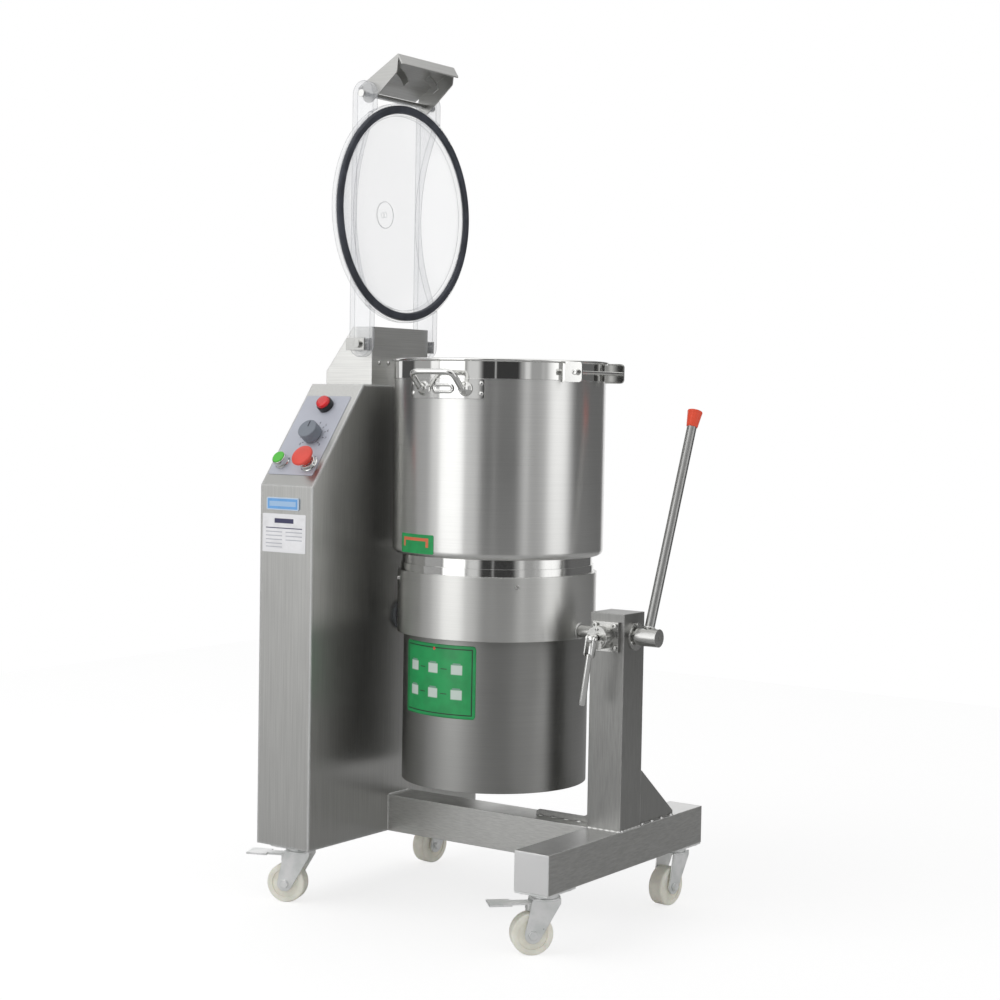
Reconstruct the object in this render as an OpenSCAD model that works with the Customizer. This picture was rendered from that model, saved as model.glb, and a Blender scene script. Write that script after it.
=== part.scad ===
// Tilting bowl cutter on a wheeled frame. The lid stands open, hinged on top of the cabinet.
// The bowl axis is vertical and the tilt shaft runs along X. The front of the machine faces -Y.
// Places are measured from the bowl axis and from the floor, then moved to the middle of the footprint.

/* [Frame] */
// Side of the square frame tubes
tube = 60; // [50:1:70]
// Wall of the frame tubes
tube_wall = 3; // [2:0.5:5]
// Height of the frame's underside above the floor
deck_z = 96.6; // [90:0.1:120]
// Gap between the bowl's wall and the post
beam_gap = 29.5; // [27.5:0.5:45]
// Length of the side beam
beam_length = 456; // [440:1:520]
// Height of the top of the post
post_top_z = 492.5; // [485:0.5:520]
// Length of each gusset's foot
gusset_length = 112; // [90:1:116]
// Height of each gusset
gusset_height = 118; // [90:1:130]
// Thickness of the gussets
gusset_t = 6; // [4:0.5:10]

/* [Cabinet] */
// Width of the cabinet
cab_w = 108; // [104:1:130]
// Gap between the bowl's wall and the cabinet's side
cab_gap = 23; // [21.5:0.5:30]
// Depth of the cabinet from front to rear
cab_depth = 455; // [445:1:500]
// Distance from the bowl axis to the cabinet's front
cab_front_y = 233.5; // [230:0.5:240]
// Height of the top edge of the cabinet's front face
face_top_z = 675; // [660:1:685]
// Height of the cabinet's top
cab_top_z = 838; // [832:1:842]
// Depth that the sloped control panel takes
slope_depth = 123; // [115:1:130]
// Thickness of the sheet metal
sheet = 2; // [1.5:0.1:2.5]

/* [Hinge housing] */
// Width of the housing
hood_w = 96; // [90:1:98]
// Depth of the housing, which spans between the lid arms
hood_depth = 150; // [140:1:152]
// Height of the top of the housing
hood_top_z = 933; // [928:0.5:936]
// Width of the housing's narrow top
hood_top_w = 40; // [34:1:50]
// Height of the housing's upright left edge
hood_edge_h = 22; // [15:1:30]

/* [Bowl] */
// Outer radius of the bowl
bowl_r = 169.5; // [166:0.5:171]
// Height of the bowl's rim
rim_z = 879.7; // [876:0.1:880]
// Wall of the bowl
bowl_wall = 2.5; // [2:0.1:3.5]
// Distance that the rolled lip reaches out from the bowl's wall
lip_reach = 5.5; // [4.5:0.5:7.5]
// Height of the upper band
band_h = 31.5; // [26:0.5:33]
// Radius of the bottom corner
bowl_corner = 10; // [6:0.5:14]
// Bar of the bowl's handles
handle_bar = 9; // [7:0.5:10]

/* [Motor housing] */
// Height of the tilt shaft's axis
shaft_z = 457; // [450:0.5:462]
// Radius of the tilt shaft
shaft_r = 10; // [8:0.5:12]
// Distance of the collar's wall inside the bowl's wall
collar_inset = 9.5; // [6.5:0.5:11.5]
// Height of the collar's lower edge
collar_z = 444.8; // [440:0.1:446]
// Height of the collar's upper edge
collar_top_z = 544.2; // [540:0.1:550]
// Distance of the motor housing's wall inside the bowl's wall
housing_inset = 20.5; // [18.5:0.5:24.5]
// Height of the motor housing's underside
housing_z = 208; // [206:0.5:225]
// Distance of the neck's wall inside the bowl's wall
neck_inset = 14.5; // [12.5:0.5:17.5]
// Height of the seat that carries the bowl
seat_z = 570.6; // [566:0.1:574]
// Wall of the collar and the motor housing
shell_wall = 2.5; // [2:0.1:3.5]

/* [Lid] */
// Distance of the hinge axis beyond the cabinet's side
hinge_inset = 25.5; // [23.5:0.5:29.5]
// Height of the hinge axis
hinge_z = 904; // [900:0.5:906]
// Distance from the lid's flange to the latch pivot
latch_gap = 7; // [4:0.5:14]
// Width of the lid arms
arm_w = 42; // [40:1:44]
// Thickness of the lid arms
arm_t = 12; // [8:0.5:14]
// Distance that the lid's flange reaches beyond the bowl's wall
lid_reach = 10.5; // [8.5:0.5:11.5]
// Distance from the hinge plane to the gasket's face
gasket_off = 24; // [23.5:0.1:25]
// Height of the dome over the flange
dome_h = 40; // [36:0.5:41]
// Thickness of the clear dome
dome_t = 4; // [3:0.5:6]

/* [Latch] */
// Length of the latch hood
latch_length = 82; // [78:1:90]
// Angle of the hood above its latched place as it stands open
latch_rest = 31; // [20:1:45]

/* [Tilt lever] */
// Distance from the post to the middle of the lever
lever_gap = 24; // [22:0.5:31]
// Length of the lever from the shaft's axis to the tip of its cap
lever_length = 372; // [340:1:400]
// Lean of the lever toward the rear
lever_lean = 21; // [10:1:30]
// Radius of the lever's bar
lever_r = 7.7; // [6:0.1:8]

/* [Controls] */
// Radius of the mushroom stop button
stop_r = 19; // [16:0.5:20]
// Radius of the start button
start_r = 11; // [9:0.5:12]
// Radius of the speed knob
knob_r = 17; // [15:0.5:18]
// Length of the lock handle
lock_length = 104; // [90:1:115]

/* [Casters] */
// Radius of the wheels
wheel_r = 31.5; // [28:0.5:33]
// Width of the wheels
wheel_w = 25; // [20:0.5:27]
// Distance of each wheel's axle behind its kingpin
trail = 20; // [16:0.5:24]

/* [Hidden] */
$fn = 96;

// Colours
steel = [0.66, 0.67, 0.66];
dark_steel = [0.45, 0.46, 0.46];
bright_steel = [0.80, 0.81, 0.81];
zinc = [0.76, 0.78, 0.78];
clear_plastic = [0.86, 0.89, 0.93];
black_rubber = [0.20, 0.21, 0.24];
overlay_grey = [0.75, 0.75, 0.80];
stop_red = [0.88, 0.30, 0.26];
lamp_red = [0.80, 0.12, 0.14];
start_green = [0.30, 0.74, 0.28];
knob_grey = [0.47, 0.50, 0.53];
nylon = [0.88, 0.87, 0.83];
copper = [0.72, 0.45, 0.28];
cast_grey = [0.60, 0.62, 0.63];

// Clearances and overrun
cut = 1;
fit = 0.05;
gap = 0.3;
side_gap = 1;

// Places and radii that follow the bowl
lip_r = bowl_r + lip_reach;
neck_r = bowl_r - neck_inset;
collar_r = bowl_r - collar_inset;
housing_r = bowl_r - housing_inset;
cab_x = bowl_r + cab_gap;
beam_x = bowl_r + beam_gap;
lever_x = beam_x + tube + lever_gap;
hinge_x = cab_x + hinge_inset;
lid_r = bowl_r + lid_reach;
arm_reach = hinge_x + lid_r + latch_gap;

// Screws
screw_r = 4;
screw_head = 3;
small_screw_r = 3;
small_screw_head = 2;
housing_screw_shares = [-0.37, -0.21];
rear_gusset_share = 0.72;

// Casters
plate_l = 76;
plate_w = 58;
plate_t = 3;
caster_left_x = -cab_x - cab_w / 2;
caster_right_x = beam_x + tube / 2;
beam_end_y = beam_length / 2;
caster_right_y = beam_end_y - plate_l / 2;
caster_left_front_y = plate_l / 2 - min(cab_front_y, beam_end_y);
caster_left_rear_y = min(cab_depth - cab_front_y, beam_end_y) - plate_l / 2;
CASTERS = [[caster_left_x, caster_left_front_y], [caster_right_x, -caster_right_y],
    [caster_left_x, caster_left_rear_y], [caster_right_x, caster_right_y]];
fork_t = 2.5;
fork_gap = 1.6;
fork_half = wheel_w / 2 + fork_gap;
fork_cheek_w = 30;
fork_head_r = 23;
fork_cheek_half = 21;
race_r = 20;
race_h = 8;
race_z = deck_z - plate_t - race_h;
fork_top_z = race_z - gap;
kingpin_r = 6;
axle_r = 4;
bolt_head_r = 7;
bolt_head_h = 5;
hub_cap_t = 1;
pedal_reach = 86;
pedal_w = 34;
pedal_t = 3;
pedal_pin_x = 14;
pedal_pin_r = 2.5;
pedal_pin_z = fork_top_z - fork_t - 2.3 * pedal_pin_r;
pedal_boss_r = 4.5;
pedal_arm_w = 20;
shoe_l = 8;
shoe_gap = 3.5;
front_left_angle = 201;
front_right_angle = 225;
rear_left_angle = 262;
rear_right_angle = 265;

// Cable gland
gland_z = 180;
gland_r = 10;
gland_bore = 4;
gland_l = 14;

// Footprint: the left brake pedal and the lever hub reach out furthest along X,
// the right brake pedal and the cable gland along Y
hub_end_gap = 20.5;
hub_end_x = lever_x + hub_end_gap;
min_x = caster_left_x + pedal_reach * cos(front_left_angle) - pedal_w / 2 * abs(sin(front_left_angle));
min_y = -caster_right_y + pedal_reach * sin(front_right_angle) - pedal_w / 2 * abs(cos(front_right_angle));
mid_x = (hub_end_x + min_x) / 2;
mid_y = (cab_depth - cab_front_y + sheet + gland_l + min_y) / 2;

// Panel frame
slope_rise = cab_top_z - face_top_z;
slope_angle = atan2(slope_rise, slope_depth);
slope_length = sqrt(slope_rise * slope_rise + slope_depth * slope_depth);
cab_x0 = -cab_x - cab_w;

// Bowl and blade drive
band_step = 1;
drive_r = 12.5;
drive_top_r = 10;
drive_step_h = 75;
drive_top_h = 50;
drive_step_z = seat_z + drive_step_h;
drive_top_z = drive_step_z + drive_top_h;
tube_r = 20;
tube_inner_r = 14.5;
tube_h = 66;
bearing_r = 26;
bearing_h = 15;
boss_r = 34;
boss_drop = 64;
seat_plate_t = 8;
seal_r = 20;
seal_h = 8;
motor_r = 100;
motor_wall = 5;
motor_floor = 12;
motor_rise = 20;
motor_z = housing_z + motor_rise;
stator_r = 94;
stator_bore = 55;
rotor_r = 54.4;
stator_rise = 60;
stator_z = motor_z + stator_rise;
stator_h = 170;

// Lid frame: along the arm, out of the hinge plane
lid_centre = hinge_x;
flange_t = 8;
gasket_w = 13.4;
gasket_t = 6;
gasket_sink = 2;
gasket_inset = 3.3;
gasket_r = lid_r - gasket_inset;
flange_back = gasket_off - gasket_t + gasket_sink - flange_t;
dome_inset = 16;
dome_r0 = lid_r - dome_inset;
dome_sphere_r = (dome_r0 * dome_r0 + dome_h * dome_h) / (2 * dome_h);
vent_r = 4;
vent_boss_r = 22;
vent_boss_h = 2;
arm_gap = 10;
arm_y = hood_depth / 2 + arm_gap;
latch_z = hinge_z + arm_reach;
rod_r = 4;

// Latch hood
latch_sheet = 2.5;
latch_rise = 22;
latch_ear_gap = 3;
latch_lip = 19;
latch_ear_r = 13;
latch_ear_w = 28;
claw_y = 40;
claw_w = 11;
claw_tip = 10;
catch_rod_r = 2.5;
catch_back = 2.4;
catch_drop = 18.7;
catch_x = arm_reach - hinge_x - catch_back;
catch_z = rim_z - catch_drop;
catch_half = 61;
catch_ear_t = 3;
catch_ear_h = 31;
catch_ear_end = 9.5;
claw_gap = 1;

// Hinge brackets
ear_t = 3;
ear_l = 37;
ear_h = 20;
ear_back = 25;
pin_r = 4;
pin_head_r = 6;
pin_head_h = 5;

// Tilt shaft and lever
hub_r = 14;
hub_gap = 3;
bush_r = 14;
bush_flange_r = 21.5;
bush_flange_t = 5;
bearing_flange_r = 25;
bearing_flange_t = 6;
shaft_inset = 18;
left_shaft_in = 28;
cap_length = 27;
cap_r0 = 8.5;
cap_r1 = 12;
cap_wall = 1;
lever_foot = 2;

// Lock
lock_flange = 46;
lock_flange_t = 6;
lock_barrel_r = 18;
lock_barrel_l = 31;
lock_bore_r = 6;
lock_stem_r = 5.9;
lock_bar_r = 6;
lock_tilt = 8;
lock_out = 14;
lock_screw_pitch = 34;

// Control panel places, from the panel's lower left corner
overlay_u = 3;
overlay_v = 21;
overlay_w = 93;
overlay_l = 158;
overlay_t = 0.8;
lamp_u = 54.5;
lamp_v = 158;
lamp_r = 9.5;
bezel_r = 13;
knob_u = 59;
knob_v = 98;
stop_u = 79;
stop_v = 43;
start_u = 22;
start_v = 45;
ring_h = 5;
ring_wall = 3;
stem_r = 6;
panel_hole_r = 8;

// Puts a piece at its place from the middle of the footprint
module at_bowl_axis() {
    translate([-mid_x, -mid_y, 0]) children();
}

// Extrudes an outline drawn in Y and Z from x0 along X
module along_x(x0, length) {
    translate([x0, 0, 0]) rotate([90, 0, 90]) linear_extrude(length) children();
}

// Extrudes an outline drawn in X and Z from y0 along +Y
module along_y(y0, length) {
    translate([0, y0 + length, 0]) rotate([90, 0, 0]) linear_extrude(length) children();
}

module x_cylinder(x0, length, r) {
    translate([x0, 0, 0]) rotate([0, 90, 0]) cylinder(h = length, r = r);
}

module y_cylinder(y0, length, r) {
    translate([0, y0, 0]) rotate([-90, 0, 0]) cylinder(h = length, r = r);
}

module ring(h, outer, inner) {
    difference() {
        cylinder(h = h, r = outer);
        translate([0, 0, -cut]) cylinder(h = h + 2 * cut, r = inner);
    }
}

// Square tube that stands along Z
module square_tube(length) {
    inner = tube - 2 * tube_wall;
    difference() {
        translate([-tube / 2, -tube / 2, 0]) cube([tube, tube, length]);
        translate([-inner / 2, -inner / 2, -cut]) cube([inner, inner, length + 2 * cut]);
    }
}

// A place on the sloped panel: u along X, v up the slope, z out of it
module on_panel(u, v) {
    translate([cab_x0 + u, -cab_front_y + v * cos(slope_angle), face_top_z + v * sin(slope_angle)])
        rotate([slope_angle, 0, 0]) children();
}

// The cabinet's side outline, drawn in by a wall on every side
module cabinet_outline(wall) {
    tangent = tan((90 - slope_angle) / 2);
    polygon([
        [-cab_front_y + wall, deck_z],
        [-cab_front_y + wall, face_top_z - wall * tangent],
        [-cab_front_y + slope_depth + wall * tan(slope_angle / 2), cab_top_z - wall],
        [cab_depth - cab_front_y - wall, cab_top_z - wall],
        [cab_depth - cab_front_y - wall, deck_z]]);
}

module cabinet() {
    rear_y = cab_depth - cab_front_y;
    margin = 20;
    color(steel) at_bowl_axis() difference() {
        along_x(cab_x0, cab_w) cabinet_outline(0);
        along_x(cab_x0 + sheet, cab_w - 2 * sheet) cabinet_outline(sheet);
        // open underside
        translate([cab_x0 + sheet, -cab_front_y + sheet, deck_z - cut])
            cube([cab_w - 2 * sheet, cab_depth - 2 * sheet, sheet + 2 * cut]);
        // rear service opening
        translate([cab_x0 + margin, rear_y - sheet - cut, deck_z + margin])
            cube([cab_w - 2 * margin, sheet + 2 * cut, cab_top_z - deck_z - 2 * margin]);
        // holes for the controls
        for (p = [[lamp_u, lamp_v], [knob_u, knob_v], [stop_u, stop_v], [start_u, start_v]])
            on_panel(p[0], p[1]) translate([0, 0, -sheet - cut])
                cylinder(h = sheet + 2 * cut, r = panel_hole_r);
        // hole for the left bearing
        translate([0, 0, shaft_z]) x_cylinder(-cab_x - sheet - cut, sheet + 2 * cut, bush_r + gap);
    }
}

module cabinet_covers() {
    rear_y = cab_depth - cab_front_y;
    lap = 12;
    color(dark_steel) at_bowl_axis() {
        // floor
        translate([cab_x0 + sheet + gap, -cab_front_y + sheet + gap, deck_z])
            cube([cab_w - 2 * sheet - 2 * gap, cab_depth - 2 * sheet - 2 * gap, sheet]);
        // rear cover
        difference() {
            translate([cab_x0 + lap, rear_y, deck_z + lap])
                cube([cab_w - 2 * lap, sheet, cab_top_z - deck_z - 2 * lap]);
            translate([cab_x0 + cab_w / 2, 0, gland_z])
                y_cylinder(rear_y - cut, sheet + 2 * cut, gland_r);
        }
    }
}

// Front outline of the hinge housing, drawn in by a wall
module housing_outline(wall) {
    x1 = cab_x0 + hood_w - wall;
    x0 = cab_x0 + wall;
    polygon([
        [x0, cab_top_z], [x1, cab_top_z], [x1, hood_top_z - wall],
        [cab_x0 + hood_w - hood_top_w + wall / 2, hood_top_z - wall],
        [x0, cab_top_z + hood_edge_h - wall / 2]]);
}

module hinge_housing() {
    color(steel) at_bowl_axis() difference() {
        along_y(-hood_depth / 2, hood_depth) housing_outline(0);
        along_y(-hood_depth / 2 + sheet, hood_depth - 2 * sheet) housing_outline(sheet);
        translate([cab_x0 + sheet, -hood_depth / 2 + sheet, cab_top_z - cut])
            cube([hood_w - 2 * sheet, hood_depth - 2 * sheet, sheet + 2 * cut]);
    }
}

module cross_beam() {
    color(steel) at_bowl_axis()
        translate([-cab_x, 0, deck_z + tube / 2]) rotate([0, 90, 0]) square_tube(cab_x + beam_x);
}

vent_hole_r = 3;

module side_beam() {
    inner = tube - 2 * tube_wall;
    color(steel) at_bowl_axis() difference() {
        translate([beam_x, -beam_length / 2, deck_z]) cube([tube, beam_length, tube]);
        translate([beam_x + tube_wall, -beam_length / 2 + tube_wall, deck_z + tube_wall])
            cube([inner, beam_length - 2 * tube_wall, inner]);
        // weld vent in the underside
        translate([beam_x + tube / 2, 0, deck_z - cut])
            cylinder(h = tube_wall + 2 * cut, r = vent_hole_r);
    }
}

module post() {
    foot_z = deck_z + tube;
    color(steel) at_bowl_axis() difference() {
        union() {
            translate([beam_x + tube / 2, 0, foot_z]) square_tube(post_top_z - foot_z - tube_wall);
            translate([beam_x, -tube / 2, post_top_z - tube_wall]) cube([tube, tube, tube_wall]);
        }
        translate([0, 0, shaft_z]) x_cylinder(beam_x - cut, tube + 2 * cut, bush_r + gap);
        translate([beam_x + tube / 2, 0, shaft_z])
            y_cylinder(-tube / 2 - cut, tube_wall + 2 * cut, lock_bore_r + gap);
    }
}

// Curved bracket: foot along +X from 0, upright at x = 0, hollowed by a quarter circle
module front_gusset_outline() {
    leg = 9;
    inner_r = 20;
    difference() {
        polygon([[0, 0], [gusset_length, 0], [gusset_length, leg - gusset_t / 2],
            [gusset_length - gusset_t / 2, leg], [leg, gusset_height - leg], [0, gusset_height]]);
        hull() {
            translate([leg + inner_r, leg + inner_r]) circle(r = inner_r);
            translate([gusset_length, leg + inner_r]) circle(r = inner_r);
            translate([leg, gusset_height - leg]) square(gusset_height);
            translate([gusset_length, leg + inner_r]) square(gusset_height);
        }
    }
}

module rear_gusset_outline() {
    leg = 12;
    height = gusset_height * rear_gusset_share;
    polygon([[0, 0], [gusset_length, 0], [gusset_length, leg / 2], [leg, height], [0, height]]);
}

module gussets() {
    color(steel) at_bowl_axis() {
        translate([beam_x, gusset_t / 2, deck_z + tube]) mirror([1, 0, 0])
            rotate([90, 0, 0]) linear_extrude(gusset_t) front_gusset_outline();
        translate([beam_x + tube - 2 * gusset_t, tube / 2, deck_z + tube]) rotate([90, 0, 90])
            linear_extrude(gusset_t) rear_gusset_outline();
    }
}

// Places a caster's parts at its kingpin, turned to its trailing angle
module at_caster(place, angle) {
    at_bowl_axis() translate([place[0], place[1], 0]) rotate([0, 0, angle]) children();
}

module caster_plates() {
    color(zinc) at_bowl_axis() for (place = CASTERS)
        translate([place[0], place[1], 0]) {
            difference() {
                translate([-plate_w / 2, -plate_l / 2, deck_z - plate_t]) cube([plate_w, plate_l, plate_t]);
                for (a = [-1, 1], b = [-1, 1])
                    translate([a * plate_w * 3 / 8, b * plate_l * 3 / 8, deck_z - plate_t - cut])
                        cylinder(h = plate_t + 2 * cut, r = screw_r);
            }
            translate([0, 0, race_z]) cylinder(h = race_h, r = race_r);
            translate([0, 0, fork_top_z - fork_t - gap - cut]) cylinder(h = race_h, r = kingpin_r);
        }
}

// Cheek of a fork, drawn along the trailing direction and up
module cheek_outline() {
    hull() {
        translate([trail, wheel_r]) circle(r = fork_cheek_w / 2 - fork_t, $fn = 32);
        translate([-fork_cheek_half, fork_top_z - 3 * fork_t]) square([2 * fork_cheek_half, 3 * fork_t]);
    }
}

module fork(brake) {
    color(zinc) {
        difference() {
            union() {
                translate([0, 0, fork_top_z - fork_t]) cylinder(h = fork_t, r = fork_head_r);
                for (side = [-1, 1])
                    translate([0, side * (fork_half + fork_t / 2) + fork_t / 2, 0])
                        rotate([90, 0, 0]) linear_extrude(fork_t) cheek_outline();
                // pin that the brake pedal turns on
                if (brake) translate([pedal_pin_x, 0, pedal_pin_z])
                    y_cylinder(-fork_half - fork_t / 2, 2 * fork_half + fork_t, pedal_pin_r);
            }
            translate([0, 0, fork_top_z - fork_t - cut]) cylinder(h = fork_t + 2 * cut, r = kingpin_r + gap);
            translate([trail, 0, wheel_r])
                y_cylinder(-fork_half - fork_t - cut, 2 * (fork_half + fork_t + cut), axle_r + gap);
        }
        // axle bolt with its head and nut
        translate([trail, 0, wheel_r]) {
            y_cylinder(-fork_half - fork_t - gap, 2 * (fork_half + fork_t + gap), axle_r);
            for (side = [-1, 1]) translate([0, side * (fork_half + fork_t + gap), 0])
                rotate([-side * 90, 0, 0]) cylinder(h = bolt_head_h, r = bolt_head_r, $fn = 6);
        }
    }
}

module wheel() {
    tread = 3;
    color(nylon) translate([trail, -wheel_w / 2, wheel_r]) rotate([-90, 0, 0]) difference() {
        union() {
            cylinder(h = wheel_w, r = wheel_r - tread);
            translate([0, 0, tread]) cylinder(h = wheel_w - 2 * tread, r = wheel_r);
            for (z = [tread, wheel_w - tread]) translate([0, 0, z])
                rotate_extrude() translate([wheel_r - tread, 0]) circle(r = tread);
            translate([0, 0, -hub_cap_t]) cylinder(h = wheel_w + 2 * hub_cap_t, r = bolt_head_r + tread);
        }
        translate([0, 0, -hub_cap_t - cut]) cylinder(h = wheel_w + 2 * (hub_cap_t + cut), r = axle_r + fit);
        for (z = [-hub_cap_t - cut, wheel_w - tread / 2]) translate([0, 0, z]) difference() {
            cylinder(h = tread / 2 + hub_cap_t + cut, r = wheel_r - 3 * tread);
            translate([0, 0, -cut]) cylinder(h = tread + 2 * cut + hub_cap_t, r = bolt_head_r + tread);
        }
    }
}

// Brake pedal: a plate on a pin behind the kingpin, with a shoe over the tread and a wide toe end
module pedal() {
    toe = pedal_w;
    color(zinc) difference() {
        union() {
            translate([pedal_pin_x, 0, pedal_pin_z]) y_cylinder(-pedal_arm_w / 2, pedal_arm_w, pedal_boss_r);
            translate([pedal_pin_x, -pedal_arm_w / 2, pedal_pin_z - pedal_t / 2])
                cube([pedal_reach - pedal_pin_x, pedal_arm_w, pedal_t]);
            translate([pedal_reach - toe, -pedal_w / 2, pedal_pin_z - pedal_t / 2])
                cube([toe, pedal_w, pedal_t]);
            translate([trail, -pedal_arm_w / 2, 2 * wheel_r + shoe_gap])
                cube([shoe_l, pedal_arm_w, pedal_pin_z - 2 * wheel_r - shoe_gap]);
        }
        translate([pedal_pin_x, 0, pedal_pin_z]) y_cylinder(-pedal_w, 2 * pedal_w, pedal_pin_r + fit);
    }
}

module fork_front_left() at_caster(CASTERS[0], front_left_angle) fork(true);
module fork_front_right() at_caster(CASTERS[1], front_right_angle) fork(true);
module fork_rear_left() at_caster(CASTERS[2], rear_left_angle) fork(false);
module fork_rear_right() at_caster(CASTERS[3], rear_right_angle) fork(false);
module wheel_front_left() at_caster(CASTERS[0], front_left_angle) wheel();
module wheel_front_right() at_caster(CASTERS[1], front_right_angle) wheel();
module wheel_rear_left() at_caster(CASTERS[2], rear_left_angle) wheel();
module wheel_rear_right() at_caster(CASTERS[3], rear_right_angle) wheel();
module brake_pedal_left() at_caster(CASTERS[0], front_left_angle) pedal();
module brake_pedal_right() at_caster(CASTERS[1], front_right_angle) pedal();

module left_bearing() {
    depth = 20;
    color(cast_grey) at_bowl_axis() translate([0, 0, shaft_z]) difference() {
        union() {
            x_cylinder(-cab_x, bearing_flange_t, bearing_flange_r);
            x_cylinder(-cab_x - depth, depth + bearing_flange_t, bush_r);
        }
        x_cylinder(-cab_x - depth - cut, depth + bearing_flange_t + 2 * cut, shaft_r + fit);
    }
}

module post_bushes() {
    depth = 14;
    color(bright_steel) at_bowl_axis() translate([beam_x + tube / 2, 0, shaft_z])
        for (side = [-1, 1]) rotate([0, side * 90, 0]) translate([0, 0, tube / 2]) difference() {
            union() {
                cylinder(h = bush_flange_t, r = bush_flange_r);
                translate([0, 0, -depth]) cylinder(h = depth + cut, r = bush_r);
            }
            translate([0, 0, -depth - cut]) cylinder(h = depth + bush_flange_t + 2 * cut, r = shaft_r + fit);
        }
}

module lock_body() {
    color(bright_steel) at_bowl_axis() translate([beam_x + tube / 2, -tube / 2, shaft_z]) difference() {
        union() {
            translate([-lock_flange / 2, -lock_flange_t, -lock_flange / 2])
                cube([lock_flange, lock_flange_t, lock_flange]);
            y_cylinder(-lock_barrel_l, lock_barrel_l, lock_barrel_r);
            y_cylinder(-cut, tube_wall + cut, lock_bore_r);
        }
        y_cylinder(-lock_barrel_l - cut, lock_barrel_l + tube_wall + 2 * cut, lock_stem_r + fit - cap_wall);
        for (a = [-1, 1], b = [-1, 1]) translate([a * lock_screw_pitch / 2, 0, b * lock_screw_pitch / 2])
            y_cylinder(-lock_flange_t - cut, lock_flange_t + 2 * cut, small_screw_r + gap);
    }
}

// The lock handle screws into the barrel and clamps the tilt shaft
module lock_handle() {
    stem = lock_stem_r - cap_wall;
    head_y = -tube / 2 - lock_barrel_l - lock_out;
    color(bright_steel) at_bowl_axis() translate([beam_x + tube / 2, 0, shaft_z]) {
        y_cylinder(head_y, -head_y - shaft_r - gap, stem);
        rotate([0, lock_tilt, 0]) {
            translate([0, head_y, 0]) rotate([180, 0, 0]) cylinder(h = lock_length, r = lock_bar_r);
            translate([0, head_y, 0]) sphere(r = lock_bar_r + cut);
            translate([0, head_y, -lock_length]) sphere(r = lock_bar_r);
        }
    }
}

module hinge_brackets() {
    y0 = hood_depth / 2;
    y1 = arm_y + arm_t / 2 + side_gap;
    color(bright_steel) at_bowl_axis() for (side = [-1, 1]) mirror([0, side < 0 ? 1 : 0, 0]) {
        difference() {
            translate([-hinge_x - ear_back, y0, hinge_z - ear_h / 2]) cube([ear_l, y1 + ear_t - y0, ear_h]);
            translate([-hinge_x - ear_back + ear_t, y0 + ear_t, hinge_z - ear_h / 2 - cut])
                cube([ear_l, y1 - y0 - ear_t, ear_h + 2 * cut]);
            translate([-hinge_x, 0, hinge_z]) y_cylinder(y0 - cut, y1 + ear_t - y0 + 2 * cut, pin_r + fit);
        }
        // hinge pin with its head
        translate([-hinge_x, 0, hinge_z]) {
            y_cylinder(y0 + gap, y1 + ear_t - y0, pin_r);
            y_cylinder(y1 + ear_t + gap, pin_head_h, pin_head_r);
        }
    }
}

module speed_drive() {
    width = 70;
    rear_gap = 63.5;
    depth = cab_depth - cab_front_y - 2 * bush_r - rear_gap;
    height = 200;
    base_z = 300;
    color(knob_grey) at_bowl_axis()
        translate([-cab_x - sheet - width, 2 * bush_r, base_z]) cube([width, depth, height]);
}

badge_u = 14;
badge_w = 68;
badge_h = 20;
badge_z = 636;
rating_u = 5;
rating_w = 90;
rating_h = 62;
rating_z = 568;

module panel_plates() {
    color(overlay_grey) at_bowl_axis() {
        on_panel(overlay_u, overlay_v) difference() {
            cube([overlay_w, overlay_l, overlay_t]);
            for (p = [[lamp_u, lamp_v], [knob_u, knob_v], [stop_u, stop_v], [start_u, start_v]])
                translate([p[0] - overlay_u, p[1] - overlay_v, -cut])
                    cylinder(h = overlay_t + 2 * cut, r = panel_hole_r);
        }
        translate([cab_x0 + badge_u, -cab_front_y - overlay_t, badge_z])
            cube([badge_w, overlay_t, badge_h]);
        translate([cab_x0 + rating_u, -cab_front_y - overlay_t, rating_z])
            cube([rating_w, overlay_t, rating_h]);
    }
}

module pilot_lamp() {
    dome = 4;
    body_depth = 22;
    color(lamp_red) at_bowl_axis() on_panel(lamp_u, lamp_v) {
        translate([0, 0, -body_depth]) cylinder(h = body_depth + overlay_t + ring_h, r = panel_hole_r - gap);
        translate([0, 0, overlay_t + ring_h]) cylinder(h = dome, r = lamp_r);
    }
}

module control_bases() {
    depth = 25;
    color(bright_steel) at_bowl_axis() {
        on_panel(lamp_u, lamp_v) translate([0, 0, overlay_t]) ring(ring_h - gap, bezel_r, panel_hole_r);
        for (p = [[stop_u, stop_v, stop_r - ring_wall], [start_u, start_v, start_r + ring_wall]])
            on_panel(p[0], p[1]) difference() {
                union() {
                    translate([0, 0, overlay_t]) cylinder(h = ring_h, r = p[2]);
                    translate([0, 0, -depth]) cylinder(h = depth + overlay_t + cut, r = panel_hole_r - gap);
                }
                translate([0, 0, -depth - cut]) cylinder(h = depth + 2 * ring_h + 2 * cut, r = stem_r + fit);
            }
        on_panel(knob_u, knob_v) difference() {
            union() {
                translate([0, 0, overlay_t]) cylinder(h = ring_h / 2, r = knob_r - ring_wall);
                translate([0, 0, -depth]) cylinder(h = depth + overlay_t + cut, r = panel_hole_r - gap);
            }
            translate([0, 0, -depth - cut]) cylinder(h = depth + 2 * ring_h + 2 * cut, r = stem_r / 2 + fit);
        }
    }
}

stop_travel = 6;
start_travel = 3;

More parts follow.
